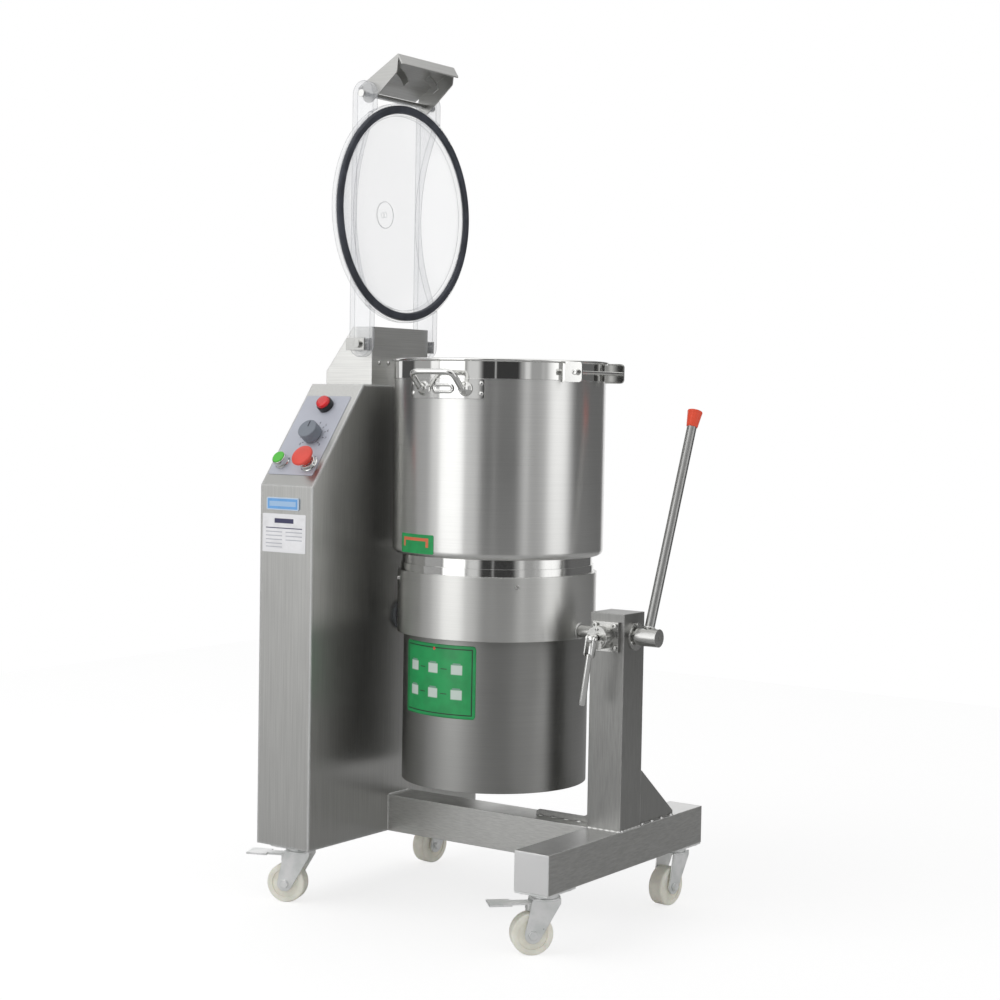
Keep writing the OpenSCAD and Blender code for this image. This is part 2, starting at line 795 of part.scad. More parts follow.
module stop_button() {
    head = 14;
    stem = 20;
    color(stop_red) at_bowl_axis() on_panel(stop_u, stop_v) {
        base = overlay_t + ring_h + stop_travel + gap;
        translate([0, 0, -stem + base]) cylinder(h = stem + cut, r = stem_r);
        translate([0, 0, base]) intersection() {
            cylinder(h = head, r = stop_r);
            translate([0, 0, head - stop_r * 2]) sphere(r = stop_r * 2);
        }
    }
}

module start_button() {
    cap = 3;
    stem = 20;
    color(start_green) at_bowl_axis() on_panel(start_u, start_v) {
        base = overlay_t + ring_h + start_travel + gap;
        translate([0, 0, -stem + base]) cylinder(h = stem + cut, r = stem_r);
        translate([0, 0, base]) cylinder(h = cap, r = start_r);
    }
}

module speed_knob() {
    height = 15;
    stem = 20;
    color(knob_grey) at_bowl_axis() on_panel(knob_u, knob_v) {
        base = overlay_t + ring_h / 2 + gap;
        translate([0, 0, base - stem]) cylinder(h = stem + cut, r = stem_r / 2);
        difference() {
            translate([0, 0, base]) cylinder(h = height, r = knob_r);
            // finger flutes round the rim
            for (k = [0:15]) rotate([0, 0, k * 360 / 16]) translate([knob_r + cut / 2, 0, base + ring_wall])
                cylinder(h = height + cut, r = cut * 3 / 2);
        }
    }
}

module cable_gland() {
    rear_y = cab_depth - cab_front_y + sheet;
    color(black_rubber) at_bowl_axis() translate([cab_x0 + cab_w / 2, 0, gland_z]) difference() {
        union() {
            y_cylinder(rear_y - sheet, sheet + gland_l, gland_r - gap);
            y_cylinder(rear_y, gland_l / 2, gland_r + ring_wall);
        }
        y_cylinder(rear_y - sheet - cut, sheet + gland_l + 2 * cut, gland_bore);
    }
}

module frame_screws() {
    color(bright_steel) at_bowl_axis() {
        // two screws on the hinge housing's side
        for (share = housing_screw_shares) translate([0, hood_depth * share, cab_top_z + hood_w * 3 / 8])
            x_cylinder(cab_x0 + hood_w, small_screw_head, small_screw_r);
        // four screws on the lock's flange
        for (a = [-1, 1], b = [-1, 1])
            translate([beam_x + tube / 2 + a * lock_screw_pitch / 2, 0, shaft_z + b * lock_screw_pitch / 2])
                y_cylinder(-tube / 2 - lock_flange_t - small_screw_head,
                    small_screw_head + lock_flange_t, small_screw_r);
        // caster screws
        for (place = CASTERS, a = [-1, 1], b = [-1, 1])
            translate([place[0] + a * plate_w * 3 / 8, place[1] + b * plate_l * 3 / 8, 0]) {
                translate([0, 0, deck_z - plate_t - screw_head])
                    cylinder(h = screw_head, r = screw_r * 3 / 2, $fn = 6);
                translate([0, 0, deck_z - plate_t - cut]) cylinder(h = plate_t + cut, r = screw_r - gap);
            }
    }
}

// Lid frame: local x along the arm from the hinge, local z out of the hinge plane toward the bowl side
module lid_frame() {
    at_bowl_axis() translate([-hinge_x, 0, hinge_z]) rotate([0, -90, 0]) mirror([0, 0, 1]) children();
}

// The outside of the lid as one solid, grown by a clearance
module lid_envelope(grow) {
    translate([lid_centre, 0, 0]) {
        translate([0, 0, flange_back - grow])
            cylinder(h = flange_t + cut + gasket_t + grow, r = lid_r + grow);
        intersection() {
            translate([0, 0, flange_back + dome_sphere_r - dome_h]) sphere(r = dome_sphere_r + grow);
            translate([0, 0, flange_back - dome_h - cut - grow]) cylinder(h = dome_h + 2 * cut, r = lid_r);
        }
    }
}

module lid_dome() {
    color(clear_plastic) lid_frame() translate([lid_centre, 0, 0]) difference() {
        union() {
            translate([0, 0, flange_back]) cylinder(h = flange_t, r = lid_r);
            intersection() {
                translate([0, 0, flange_back + dome_sphere_r - dome_h]) sphere(r = dome_sphere_r);
                translate([0, 0, flange_back - dome_h - cut]) cylinder(h = dome_h + 2 * cut, r = lid_r);
            }
        }
        difference() {
            intersection() {
                translate([0, 0, flange_back + dome_sphere_r - dome_h]) sphere(r = dome_sphere_r - dome_t);
                translate([0, 0, flange_back - dome_h - cut])
                    cylinder(h = dome_h + flange_t + 3 * cut, r = dome_r0 - dome_t);
            }
            translate([0, 0, flange_back - dome_h - cut])
                cylinder(h = dome_t + vent_boss_h + cut, r = vent_boss_r);
        }
        // mouth through the flange
        translate([0, 0, flange_back]) cylinder(h = flange_t + cut, r = dome_r0 - dome_t);
        // groove for the gasket
        translate([0, 0, gasket_off - gasket_t]) ring(flange_t, gasket_r, gasket_r - gasket_w);
        // vent hole in the middle of the dome
        translate([0, 0, flange_back - dome_h - cut]) cylinder(h = dome_h, r = vent_r);
    }
}

module lid_gasket() {
    side = gasket_w - 2 * gap;
    color(black_rubber) lid_frame() translate([lid_centre, 0, gasket_off - gasket_t + gap])
        rotate_extrude() translate([gasket_r - gasket_w + gap, 0]) {
            square([side, gasket_t / 2]);
            translate([gasket_t / 2, 0]) square([side - gasket_t, gasket_t - gap]);
            for (x = [gasket_t / 2 - gap / 2, side - gasket_t / 2 + gap / 2])
                translate([x, gasket_t / 2 - gap / 2]) circle(r = gasket_t / 2 - gap / 2);
        }
}

module lid_arms() {
    color(clear_plastic) lid_frame() difference() {
        for (side = [-1, 1]) translate([0, side * arm_y + arm_t / 2, 0])
            rotate([90, 0, 0]) linear_extrude(arm_t) {
                translate([0, -arm_w / 2]) square([arm_reach, arm_w]);
                for (x = [0, arm_reach]) translate([x, 0]) circle(d = arm_w);
            }
        lid_envelope(gap);
        y_cylinder(-arm_y - arm_t, 2 * (arm_y + arm_t), pin_r + fit);
        translate([arm_reach, 0, 0]) y_cylinder(-arm_y - arm_t, 2 * (arm_y + arm_t), rod_r + fit);
    }
}

module latch_rod() {
    half = arm_y + arm_t / 2;
    color(bright_steel) lid_frame() translate([arm_reach, 0, 0]) {
        y_cylinder(-half - gap, 2 * (half + gap), rod_r);
        for (y = [-half - gap - pin_head_h, half + gap]) y_cylinder(y, pin_head_h, pin_head_r);
    }
}

// Latch frame: local x along the hood and local z outward, turned up from the latched place
module latch_frame() {
    at_bowl_axis() translate([-hinge_x, 0, latch_z]) rotate([0, -latch_rest, 0]) children();
}

module latch_hood() {
    half = arm_y - arm_t / 2 - latch_ear_gap;
    claw_r = sqrt(pow(arm_reach - hinge_x - catch_x, 2) + pow(hinge_z - catch_z, 2))
        + catch_rod_r + claw_gap;
    color(steel) latch_frame() difference() {
        union() {
            // side ears
            for (y = [-half, half - latch_sheet]) translate([0, y + latch_sheet, 0]) rotate([90, 0, 0])
                linear_extrude(latch_sheet) hull() {
                    circle(r = latch_ear_r, $fn = 32);
                    translate([0, latch_rise - latch_sheet]) square([latch_length, latch_sheet]);
                    translate([latch_length - latch_lip, latch_rise - latch_lip])
                        circle(r = 2 * latch_sheet, $fn = 32);
                }
            // web
            translate([-latch_ear_r, -half, latch_rise - latch_sheet])
                cube([latch_length + latch_ear_r, 2 * half, latch_sheet]);
            // end lip
            translate([latch_length - latch_sheet, -half, latch_rise - latch_lip])
                cube([latch_sheet, 2 * half, latch_lip]);
            // claws that hook behind the catch rod
            for (y = [-claw_y, claw_y]) translate([0, y + latch_sheet / 2, 0]) rotate([90, 0, 0])
                linear_extrude(latch_sheet) intersection() {
                    difference() {
                        circle(r = claw_r + claw_w);
                        circle(r = claw_r);
                    }
                    translate([0, -claw_tip])
                        square([latch_length, latch_rise + claw_tip - latch_sheet / 2]);
                }
        }
        y_cylinder(-half - cut, 2 * (half + cut), rod_r + fit);
    }
}

module shaft_holes(outer, inner) {
    translate([0, 0, shaft_z]) {
        x_cylinder(-outer - cut, outer - inner + 2 * cut, shaft_r + gap);
        x_cylinder(inner - cut, outer - inner + 2 * cut, shaft_r + gap);
    }
}

module collar() {
    color(steel) at_bowl_axis() difference() {
        union() {
            translate([0, 0, collar_z]) ring(collar_top_z - collar_z, collar_r, collar_r - shell_wall);
            translate([0, 0, collar_z]) ring(shell_wall, collar_r - shell_wall / 2, housing_r + gap);
        }
        shaft_holes(collar_r, collar_r - 2 * shell_wall);
    }
}

module motor_housing() {
    top = collar_top_z - seat_plate_t - gap;
    color(dark_steel) at_bowl_axis() difference() {
        translate([0, 0, housing_z]) cylinder(h = top - housing_z, r = housing_r);
        translate([0, 0, housing_z + shell_wall]) cylinder(h = top - housing_z, r = housing_r - shell_wall);
        shaft_holes(housing_r, housing_r - 2 * shell_wall);
    }
}

module motor_frame() {
    top = collar_top_z - seat_plate_t;
    color(cast_grey) at_bowl_axis() difference() {
        translate([0, 0, motor_z]) cylinder(h = top - motor_z, r = motor_r);
        translate([0, 0, motor_z + motor_floor]) cylinder(h = top - motor_z, r = motor_r - motor_wall);
        translate([0, 0, motor_z + motor_floor - bearing_h / 2])
            cylinder(h = bearing_h, r = bearing_r + fit);
    }
}

module motor_stator() {
    color(copper) at_bowl_axis() translate([0, 0, stator_z])
        ring(stator_h, motor_r - motor_wall - gap, stator_bore);
}

lower_bearing_z = motor_z + motor_floor - bearing_h / 2;
upper_bearing_z = collar_top_z - boss_drop / 2;

module motor_bearings() {
    color(bright_steel) at_bowl_axis() for (z = [lower_bearing_z, upper_bearing_z])
        translate([0, 0, z]) ring(bearing_h, bearing_r, drive_r + fit);
}

module shaft_seal() {
    color(black_rubber) at_bowl_axis() translate([0, 0, seat_z - seal_h - gap])
        ring(seal_h, seal_r, drive_r + fit);
}

module bowl_seat() {
    foot = 10;
    step = 2;
    step_h = 12;
    color(bright_steel) at_bowl_axis() difference() {
        union() {
            translate([0, 0, collar_top_z - seat_plate_t])
                cylinder(h = seat_plate_t, r = collar_r - shell_wall - gap);
            translate([0, 0, collar_top_z - cut])
                cylinder(h = seat_z - collar_top_z + cut, r = neck_r - step);
            translate([0, 0, collar_top_z - cut]) cylinder(h = step_h + cut, r = neck_r);
            translate([0, 0, upper_bearing_z - step])
                cylinder(h = seat_z - upper_bearing_z + step, r = boss_r);
        }
        // hollow between the neck and the boss
        translate([0, 0, collar_top_z]) ring(seat_z - collar_top_z + cut, neck_r - foot, boss_r);
        translate([0, 0, upper_bearing_z - step - cut])
            cylinder(h = bearing_h + step + cut, r = bearing_r + fit);
        translate([0, 0, upper_bearing_z]) cylinder(h = seat_z, r = tube_inner_r);
        translate([0, 0, seat_z - seal_h - gap]) cylinder(h = seal_h + 2 * cut, r = seal_r + fit);
    }
}

module trunnion_shafts() {
    color(bright_steel) at_bowl_axis() translate([0, 0, shaft_z]) {
        x_cylinder(-cab_x - left_shaft_in, left_shaft_in + cab_x - collar_r + shaft_inset, shaft_r);
        x_cylinder(collar_r - shaft_inset, lever_x + hub_r - lever_foot - collar_r + shaft_inset, shaft_r);
    }
}

module lever_hub() {
    x0 = beam_x + tube + bush_flange_t + hub_gap;
    color(steel) at_bowl_axis() translate([0, 0, shaft_z]) difference() {
        x_cylinder(x0, hub_end_x - x0, hub_r);
        x_cylinder(x0 - cut, lever_x + hub_r - lever_foot + gap - x0 + cut, shaft_r + fit);
        x_cylinder(hub_end_x - screw_head, screw_head + cut, small_screw_r);
        translate([lever_x, 0, 0]) rotate([-lever_lean, 0, 0]) cylinder(h = 2 * hub_r, r = lever_r + fit);
    }
}

module tilt_lever() {
    color(bright_steel) at_bowl_axis() translate([lever_x, 0, shaft_z]) rotate([-lever_lean, 0, 0])
        translate([0, 0, shaft_r + gap])
            cylinder(h = lever_length - cap_wall * 2 - shaft_r - gap, r = lever_r);
}

module lever_cap() {
    color(stop_red) at_bowl_axis() translate([lever_x, 0, shaft_z]) rotate([-lever_lean, 0, 0])
        translate([0, 0, lever_length - cap_length]) difference() {
            cylinder(h = cap_length, r1 = cap_r0, r2 = cap_r1);
            translate([0, 0, -cut]) cylinder(h = cap_length - cap_wall * 2 + gap + cut, r = lever_r + fit);
        }
}

module collar_screws() {
    below_top = 14;
    z = collar_top_z - below_top;
    count = 4;
    color(bright_steel) at_bowl_axis() for (k = [0:count - 1]) rotate([0, 0, -44 + k * 360 / count])
        translate([0, 0, z]) x_cylinder(collar_r, small_screw_head, small_screw_r);
}

module rotor_core() {
    color(dark_steel) at_bowl_axis() translate([0, 0, stator_z]) ring(stator_h, rotor_r, drive_r + fit);
}

module rotor_shaft() {
    color(bright_steel) at_bowl_axis() {
        translate([0, 0, lower_bearing_z]) cylinder(h = drive_step_z - lower_bearing_z, r = drive_r);
        translate([0, 0, lower_bearing_z]) cylinder(h = drive_top_z - lower_bearing_z, r = drive_top_r);
    }
}

// Half section of the bowl's wall and floor, lip and centre tube, drawn in radius and height
module bowl_section() {
    base = seat_z + gap;
    inner_corner = bowl_corner - bowl_wall;
    difference() {
        union() {
            translate([0, base]) square([bowl_r - bowl_corner, rim_z - base - band_h]);
            translate([0, base + bowl_corner]) square([bowl_r, rim_z - base - bowl_corner - band_h / 2]);
            translate([bowl_r - bowl_corner, base + bowl_corner]) circle(r = bowl_corner);
            translate([0, rim_z - band_h]) square([bowl_r + band_step, band_h - bowl_wall]);
        }
        translate([-cut, base + bowl_corner]) square([bowl_r - bowl_wall + cut, rim_z]);
        translate([-cut, base + bowl_wall]) square([bowl_r - bowl_corner + cut, rim_z]);
        translate([bowl_r - bowl_corner, base + bowl_corner]) circle(r = inner_corner);
    }
    // rolled lip
    translate([bowl_r - bowl_wall, rim_z - 2 * bowl_wall]) square([lip_r - bowl_r, 2 * bowl_wall]);
    translate([lip_r - bowl_wall, rim_z - bowl_wall]) circle(r = bowl_wall);
    // centre tube
    translate([tube_inner_r, base]) square([tube_r - tube_inner_r, tube_h]);
}

module bowl_shell() {
    color(bright_steel) at_bowl_axis() difference() {
        rotate_extrude() bowl_section();
        translate([0, 0, seat_z]) cylinder(h = tube_h, r = tube_inner_r);
    }
}

handle_angle = -86;
plate_arc = 46;
handle_plate_t = 1.5;
handle_plate_h = 31;
handle_z = rim_z - band_h - handle_plate_h / 2;
handle_half = 42;
loop_half = 37;
loop_out = 30;
loop_rise = 25;
loop_corner = 9;

// Repeats a handle at the front and at the rear of the bowl, with x radially outward
module at_handles() {
    at_bowl_axis() for (a = [handle_angle, handle_angle + 180]) rotate([0, 0, a]) children();
}

module handle_plates() {
    color(bright_steel) at_handles() difference() {
        translate([0, 0, handle_z - handle_plate_h / 2]) rotate([0, 0, -plate_arc / 2])
            rotate_extrude(angle = plate_arc) translate([bowl_r + gap, 0])
                square([handle_plate_t, handle_plate_h]);
        // pressed slot between the two bosses
        translate([bowl_r + gap + handle_plate_t / 2, -loop_half / 2, handle_z - handle_bar])
            cube([handle_plate_t, loop_half, handle_bar]);
    }
}

// Bent round bar: two legs that rise outward from the bosses, joined by a straight run
module handle_loops() {
    rise = atan2(loop_rise, loop_out);
    leg = sqrt(loop_out * loop_out + loop_rise * loop_rise);
    boss = handle_bar * 0.9;
    leg_y = handle_half - handle_bar / 2;
    seat_r = bowl_r + 2 * gap + handle_plate_t;
    start = seat_r * cos(asin(handle_half / bowl_r));
    color(bright_steel) at_handles() difference() {
        translate([start, 0, handle_z]) {
            for (side = [-1, 1]) translate([-handle_bar / 2, side * leg_y, 0])
                rotate([0, 90, 0]) cylinder(h = 2 * handle_bar, r = boss);
            translate([boss, 0, 0]) rotate([0, -rise, 0]) {
                for (side = [-1, 1]) {
                    translate([0, side * leg_y, 0]) rotate([0, 90, 0])
                        cylinder(h = leg - loop_corner, r = handle_bar / 2);
                    translate([leg - loop_corner, side * (leg_y - loop_corner), 0])
                        rotate([0, 0, side > 0 ? 0 : -90]) rotate_extrude(angle = 90)
                            translate([loop_corner, 0]) circle(d = handle_bar);
                }
                translate([leg, loop_corner - leg_y, 0]) rotate([-90, 0, 0])
                    cylinder(h = 2 * (leg_y - loop_corner), r = handle_bar / 2);
            }
        }
        // bosses rest on the round of the handle plate
        translate([0, 0, handle_z - handle_plate_h]) cylinder(h = 2 * handle_plate_h, r = seat_r);
    }
}

module catch_ears() {
    corner = 6;
    x0 = sqrt(bowl_r * bowl_r - catch_half * catch_half) - catch_ear_t;
    color(bright_steel) at_bowl_axis() difference() {
        for (y = [-catch_half - catch_ear_t / 2, catch_half - catch_ear_t / 2]) along_y(y, catch_ear_t)
            hull() {
                translate([x0, catch_z - catch_ear_h / 2]) square([catch_ear_t, catch_ear_h]);
                for (z = [-1, 1])
                    translate([catch_x + catch_ear_end - corner, catch_z + z * (catch_ear_h / 2 - corner)])
                        circle(r = corner);
            }
        translate([0, 0, catch_z - catch_ear_h]) cylinder(h = 2 * catch_ear_h, r = bowl_r + band_step + gap);
        // room under the rolled lip
        translate([0, 0, rim_z - 2 * bowl_wall - gap]) cylinder(h = catch_ear_h, r = lip_r + gap);
        translate([catch_x, 0, catch_z])
            y_cylinder(-catch_half - catch_ear_t, 2 * (catch_half + catch_ear_t), catch_rod_r + fit);
    }
}

module catch_rod() {
    over = 4;
    color(bright_steel) at_bowl_axis() translate([catch_x, 0, catch_z]) {
        half = catch_half + catch_ear_t / 2 + over;
        y_cylinder(-half, 2 * half, catch_rod_r);
        for (y = [-half, half + gap - over]) y_cylinder(y, over - gap, 2 * catch_rod_r);
    }
}

module bowl_rivets() {
    edge_angle = 2;
    rivet_angle = plate_arc / 2 - edge_angle;
    color(bright_steel) at_handles() for (a = [-rivet_angle, rivet_angle], b = [-1, 1])
        rotate([0, 0, a]) translate([0, 0, handle_z + b * handle_plate_h / 4])
            x_cylinder(bowl_r + handle_plate_t + gap, small_screw_head / 2, small_screw_r);
}

blade_rise = 15;
blade_z = seat_z + blade_rise;
blade_t = 3;
blade_gap = 17;
blade_r = bowl_r - bowl_wall - blade_gap;
blade_pitch = 38;
hub_wall_r = 30;
hub_bore_r = 22;
hub_floor_gap = 5;
hub_base_z = seat_z + gap + bowl_wall + hub_floor_gap;
hub_top_h = 22;
hub_top_z = drive_step_z + hub_top_h;

module blade_hub() {
    color(bright_steel) at_bowl_axis() difference() {
        translate([0, 0, hub_base_z]) cylinder(h = hub_top_z - hub_base_z, r = hub_wall_r);
        translate([0, 0, hub_base_z - cut])
            cylinder(h = drive_step_z + gap - hub_base_z + cut, r = hub_bore_r);
        translate([0, 0, hub_base_z]) cylinder(h = hub_top_z, r = drive_top_r + fit);
    }
}

// One curved blade: a crescent between two arcs that meet at the hub and at the tip
module blade_wing() {
    back = 55;
    edge = 22;
    half = blade_r / 2;
    back_r = (half * half + back * back) / (2 * back);
    edge_r = (half * half + edge * edge) / (2 * edge);
    difference() {
        translate([half, back - back_r]) circle(r = back_r);
        translate([half, edge - edge_r]) circle(r = edge_r);
    }
}

module blades() {
    color(bright_steel) at_bowl_axis() for (k = [0, 1]) translate([0, 0, blade_z + k * blade_pitch])
        rotate([0, 0, 25 + k * 90]) difference() {
            linear_extrude(blade_t) {
                circle(r = hub_wall_r + 2 * blade_t);
                blade_wing();
                rotate([0, 0, 180]) blade_wing();
            }
            translate([0, 0, -cut]) cylinder(h = blade_t + 2 * cut, r = hub_wall_r + gap);
        }
}

module blade_nut() {
    nut_r = 26;
    flute_r = 10.5;
    color(bright_steel) at_bowl_axis() difference() {
        translate([0, 0, hub_top_z]) cylinder(h = drive_top_z - hub_top_z + cap_wall * 4, r = nut_r);
        translate([0, 0, hub_top_z - cut])
            cylinder(h = drive_top_z - hub_top_z + gap + cut, r = drive_top_r + fit);
        for (k = [0:5]) rotate([0, 0, k * 60]) translate([nut_r + bearing_h / 2, 0, hub_top_z + cap_wall])
            cylinder(h = 2 * nut_r, r = flute_r);
    }
}

cabinet();
cabinet_covers();
hinge_housing();
cross_beam();
side_beam();
post();
gussets();
caster_plates();
left_bearing();
post_bushes();
lock_body();
hinge_brackets();
speed_drive();
panel_plates();
pilot_lamp();
control_bases();
cable_gland();
frame_screws();
lid_dome();
lid_gasket();
lid_arms();
latch_rod();
latch_hood();
collar();
motor_housing();
motor_frame();
motor_stator();
motor_bearings();
shaft_seal();
bowl_seat();
trunnion_shafts();
lever_hub();
tilt_lever();
lever_cap();
collar_screws();
rotor_core();
rotor_shaft();
bowl_shell();
handle_plates();
handle_loops();
catch_ears();
catch_rod();
bowl_rivets();
blade_hub();
blades();
blade_nut();
lock_handle();
speed_knob();
stop_button();
start_button();
fork_front_left();
fork_front_right();
fork_rear_left();
fork_rear_right();
wheel_front_left();
wheel_front_right();
wheel_rear_left();
wheel_rear_right();
brake_pedal_left();
brake_pedal_right();
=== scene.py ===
"""Dresses the bowl cutter: finishes for every solid, the fine pieces that sit on them, and a plain studio."""

import functools
import math

import bmesh
import bpy
import numpy as np
from bpy.props import (FloatProperty, FloatVectorProperty, IntProperty,
                       PointerProperty)
from bpy.types import Operator, Panel, PropertyGroup
from mathutils import Matrix, Vector


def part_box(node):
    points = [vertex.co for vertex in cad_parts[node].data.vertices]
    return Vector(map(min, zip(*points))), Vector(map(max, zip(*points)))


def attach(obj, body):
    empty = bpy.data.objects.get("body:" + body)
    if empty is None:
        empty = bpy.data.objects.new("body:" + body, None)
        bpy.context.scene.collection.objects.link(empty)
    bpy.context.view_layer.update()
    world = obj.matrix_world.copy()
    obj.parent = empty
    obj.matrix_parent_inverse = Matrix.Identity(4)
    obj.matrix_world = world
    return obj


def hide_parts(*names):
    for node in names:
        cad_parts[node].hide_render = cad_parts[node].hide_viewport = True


bl_info = {
    "name": "Bowl Cutter",
    "version": (1, 0, 0),
    "blender": (4, 5, 0),
    "location": "3D View > Sidebar > Bowl Cutter",
    "description": "Builds the finishes and fine pieces of a tilting bowl cutter",
    "category": "Object",
}

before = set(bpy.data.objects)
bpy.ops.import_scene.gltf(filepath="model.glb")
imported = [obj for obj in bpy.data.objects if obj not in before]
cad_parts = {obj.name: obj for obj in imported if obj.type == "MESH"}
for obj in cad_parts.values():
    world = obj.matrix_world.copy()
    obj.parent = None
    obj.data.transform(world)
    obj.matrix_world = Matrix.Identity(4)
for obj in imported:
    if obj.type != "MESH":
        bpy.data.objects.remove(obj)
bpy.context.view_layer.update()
MM = 0.001

# ---------------------------------------------------------------- places taken from the solids

BOWL_LOW, BOWL_HIGH = (np.array(corner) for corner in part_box("bowl_shell"))
BOWL_AXIS = (BOWL_LOW[:2] + BOWL_HIGH[:2]) / 2
BOWL_TOP = float(BOWL_HIGH[2])
LIP_REACH, BAND_HIGH = 0.0055, 0.0315
BOWL_RADIUS = float(BOWL_HIGH[0] - BOWL_LOW[0]) / 2 - LIP_REACH
COLLAR_RADIUS, COLLAR_SCREWS_HIGH, HOUSING_RADIUS = 0.16, 0.5302, 0.149
X, Y, Z = np.eye(3)

# Places on the solids in millimetres: x and y from the bowl's axis, z from the floor.
CABINET_LEFT, CABINET_FRONT, SLOPE_FOOT = -300.5, -233.5, 675
SLOPE_RISE, SLOPE_RUN = 163, 123
BEAM_FRONT = -227.0
SLOPE = math.atan2(SLOPE_RISE, SLOPE_RUN)
TILT_HIGH = 457
LOCK_X = 229
# On the slope: the controls' places across and up it, and the film's top over it.
LAMP, KNOB, STOP, START = (54.5, 158), (59, 98), (79, 43), (22, 45)
FILM_TOP = 0.8


def from_axis(x, y, z):
    """A point given in millimetres from the bowl's axis and the floor, in metres in the model's frame."""
    return np.array([BOWL_AXIS[0] + x * MM, BOWL_AXIS[1] + y * MM, z * MM])


def panel_frame(u, v, w=0.0):
    """Origin and axes of a place on the sloped panel: u across, v up the slope, w out of it, in millimetres."""
    up = Y * math.cos(SLOPE) + Z * math.sin(SLOPE)
    out = Z * math.cos(SLOPE) - Y * math.sin(SLOPE)
    return from_axis(CABINET_LEFT, CABINET_FRONT, SLOPE_FOOT) + (X * u + up * v + out * w) * MM, X, up, out


# ---------------------------------------------------------------- settings


def colour(name, about, value):
    return FloatVectorProperty(name=name, description=about, default=value, subtype="COLOR",
                               min=0.0, max=1.0, size=3)


def length(name, about, value):
    return FloatProperty(name=name, description=about, default=value, min=0.0, unit="LENGTH",
                         subtype="DISTANCE", precision=5)


class CutterColours(PropertyGroup):
    """Colours of the finishes."""
    sheet_steel: colour("Sheet steel", "Brushed sheet of the cabinet and the frame", (0.56, 0.56, 0.545))
    bowl_steel: colour("Bowl steel", "Polished steel of the bowl", (0.76, 0.76, 0.745))
    zinc: colour("Zinc", "Plating of the casters", (0.72, 0.74, 0.73))
    nylon: colour("Nylon", "Wheels", (0.74, 0.72, 0.64))
    overlay: colour("Panel film", "Printed film under the controls", (0.53, 0.55, 0.62))
    stop_red: colour("Stop red", "Mushroom button", (0.80, 0.085, 0.06))
    lamp_red: colour("Lamp red", "Lens of the pilot lamp", (0.62, 0.008, 0.012))
    start_green: colour("Start green", "Cap of the start button", (0.10, 0.55, 0.06))
    cap_red: colour("Grip red", "Grip of the tilt lever", (0.97, 0.10, 0.045))
    dial_grey: colour("Dial grey", "Knurled speed knob", (0.225, 0.25, 0.29))
    gasket: colour("Gasket", "Rubber of the lid's gasket", (0.038, 0.042, 0.055))
    clear: colour("Clear plastic", "Dome and arms of the lid", (0.88, 0.90, 0.95))
    sticker_green: colour("Sticker green", "Ground of the stickers", (0.01, 0.33, 0.09))
    sticker_orange: colour("Sticker orange", "Bracket on the small sticker", (0.72, 0.16, 0.07))
    badge_blue: colour("Badge blue", "Plain badge on the cabinet", (0.16, 0.40, 0.78))


class CutterSizes(PropertyGroup):
    """Sizes of the fine pieces."""
    edge: length("Sheet edge", "Radius of the bent sheet's edges", 0.0028)
    fine_edge: length("Fine edge", "Radius of turned and cut edges", 0.0007)
    knurls: IntProperty(name="Knurls", description="Ridges round the speed knob", default=44, min=12, max=90)
    knurl_depth: length("Knurl depth", "Depth of the knob's ridges", 0.0005)
    handle_bar: length("Handle bar", "Diameter of the bowl's handle bar", 0.009)
    weld: length("Weld bead", "Radius of the weld beads", 0.0026)
    sticker: length("Sticker thickness", "Thickness of the stickers", 0.0003)


class CutterStage(PropertyGroup):
    """Camera and light."""
    lens: FloatProperty(name="Lens", description="Focal length on a 36 mm sensor", default=69.55,
                        min=10.0, unit="CAMERA")
    azimuth: FloatProperty(name="Azimuth", description="Camera's turn round the object",
                           default=math.radians(34.83), subtype="ANGLE")
    elevation: FloatProperty(name="Elevation", description="Camera's height angle",
                             default=math.radians(2.82), subtype="ANGLE")
    roll: FloatProperty(name="Roll", description="Camera's roll", default=math.radians(1.01), subtype="ANGLE")
    place: FloatVectorProperty(name="Place", description="Camera's place from the bowl's axis and the floor",
                               default=(1.77735, -2.55, 0.8089), size=3, subtype="TRANSLATION", unit="LENGTH")
    daylight: FloatProperty(name="Daylight", description="Even light from all around", default=0.62, min=0.0)
    key: FloatProperty(name="Key light", description="Power of the large soft lamp", default=26.0, min=0.0,
                       unit="POWER")


# ---------------------------------------------------------------- shader sums


class Tone:
    """A shader socket that adds Math nodes when it takes part in a sum."""

    def __init__(self, paint, socket):
        self.paint, self.socket = paint, socket

    def sum(self, operation, first, second=None):
        sockets = {0: first} if second is None else {0: first, 1: second}
        return self.paint.make("ShaderNodeMath", {"operation": operation}, sockets)

    def __add__(self, other): return self.sum("ADD", self, other)
    def __radd__(self, other): return self.sum("ADD", other, self)
    def __sub__(self, other): return self.sum("SUBTRACT", self, other)
    def __rsub__(self, other): return self.sum("SUBTRACT", other, self)
    def __mul__(self, other): return self.sum("MULTIPLY", self, other)
    def __pow__(self, other): return self.sum("POWER", self, other)
    def __abs__(self): return self.sum("ABSOLUTE", self)

    def least(self, other): return self.sum("MINIMUM", self, other)
    def most(self, other): return self.sum("MAXIMUM", self, other)

    def ease(self, low, high):
        """0 below low, 1 above high, smooth between."""
        return self.paint.make("ShaderNodeMapRange", {"interpolation_type": "SMOOTHSTEP"},
                               {"Value": self, "From Min": low, "From Max": high})

    def window(self, low, high, soft):
        """1 between low and high with soft shoulders, else 0."""
        return self.ease(low - soft, low + soft) * (1 - self.ease(high - soft, high + soft))


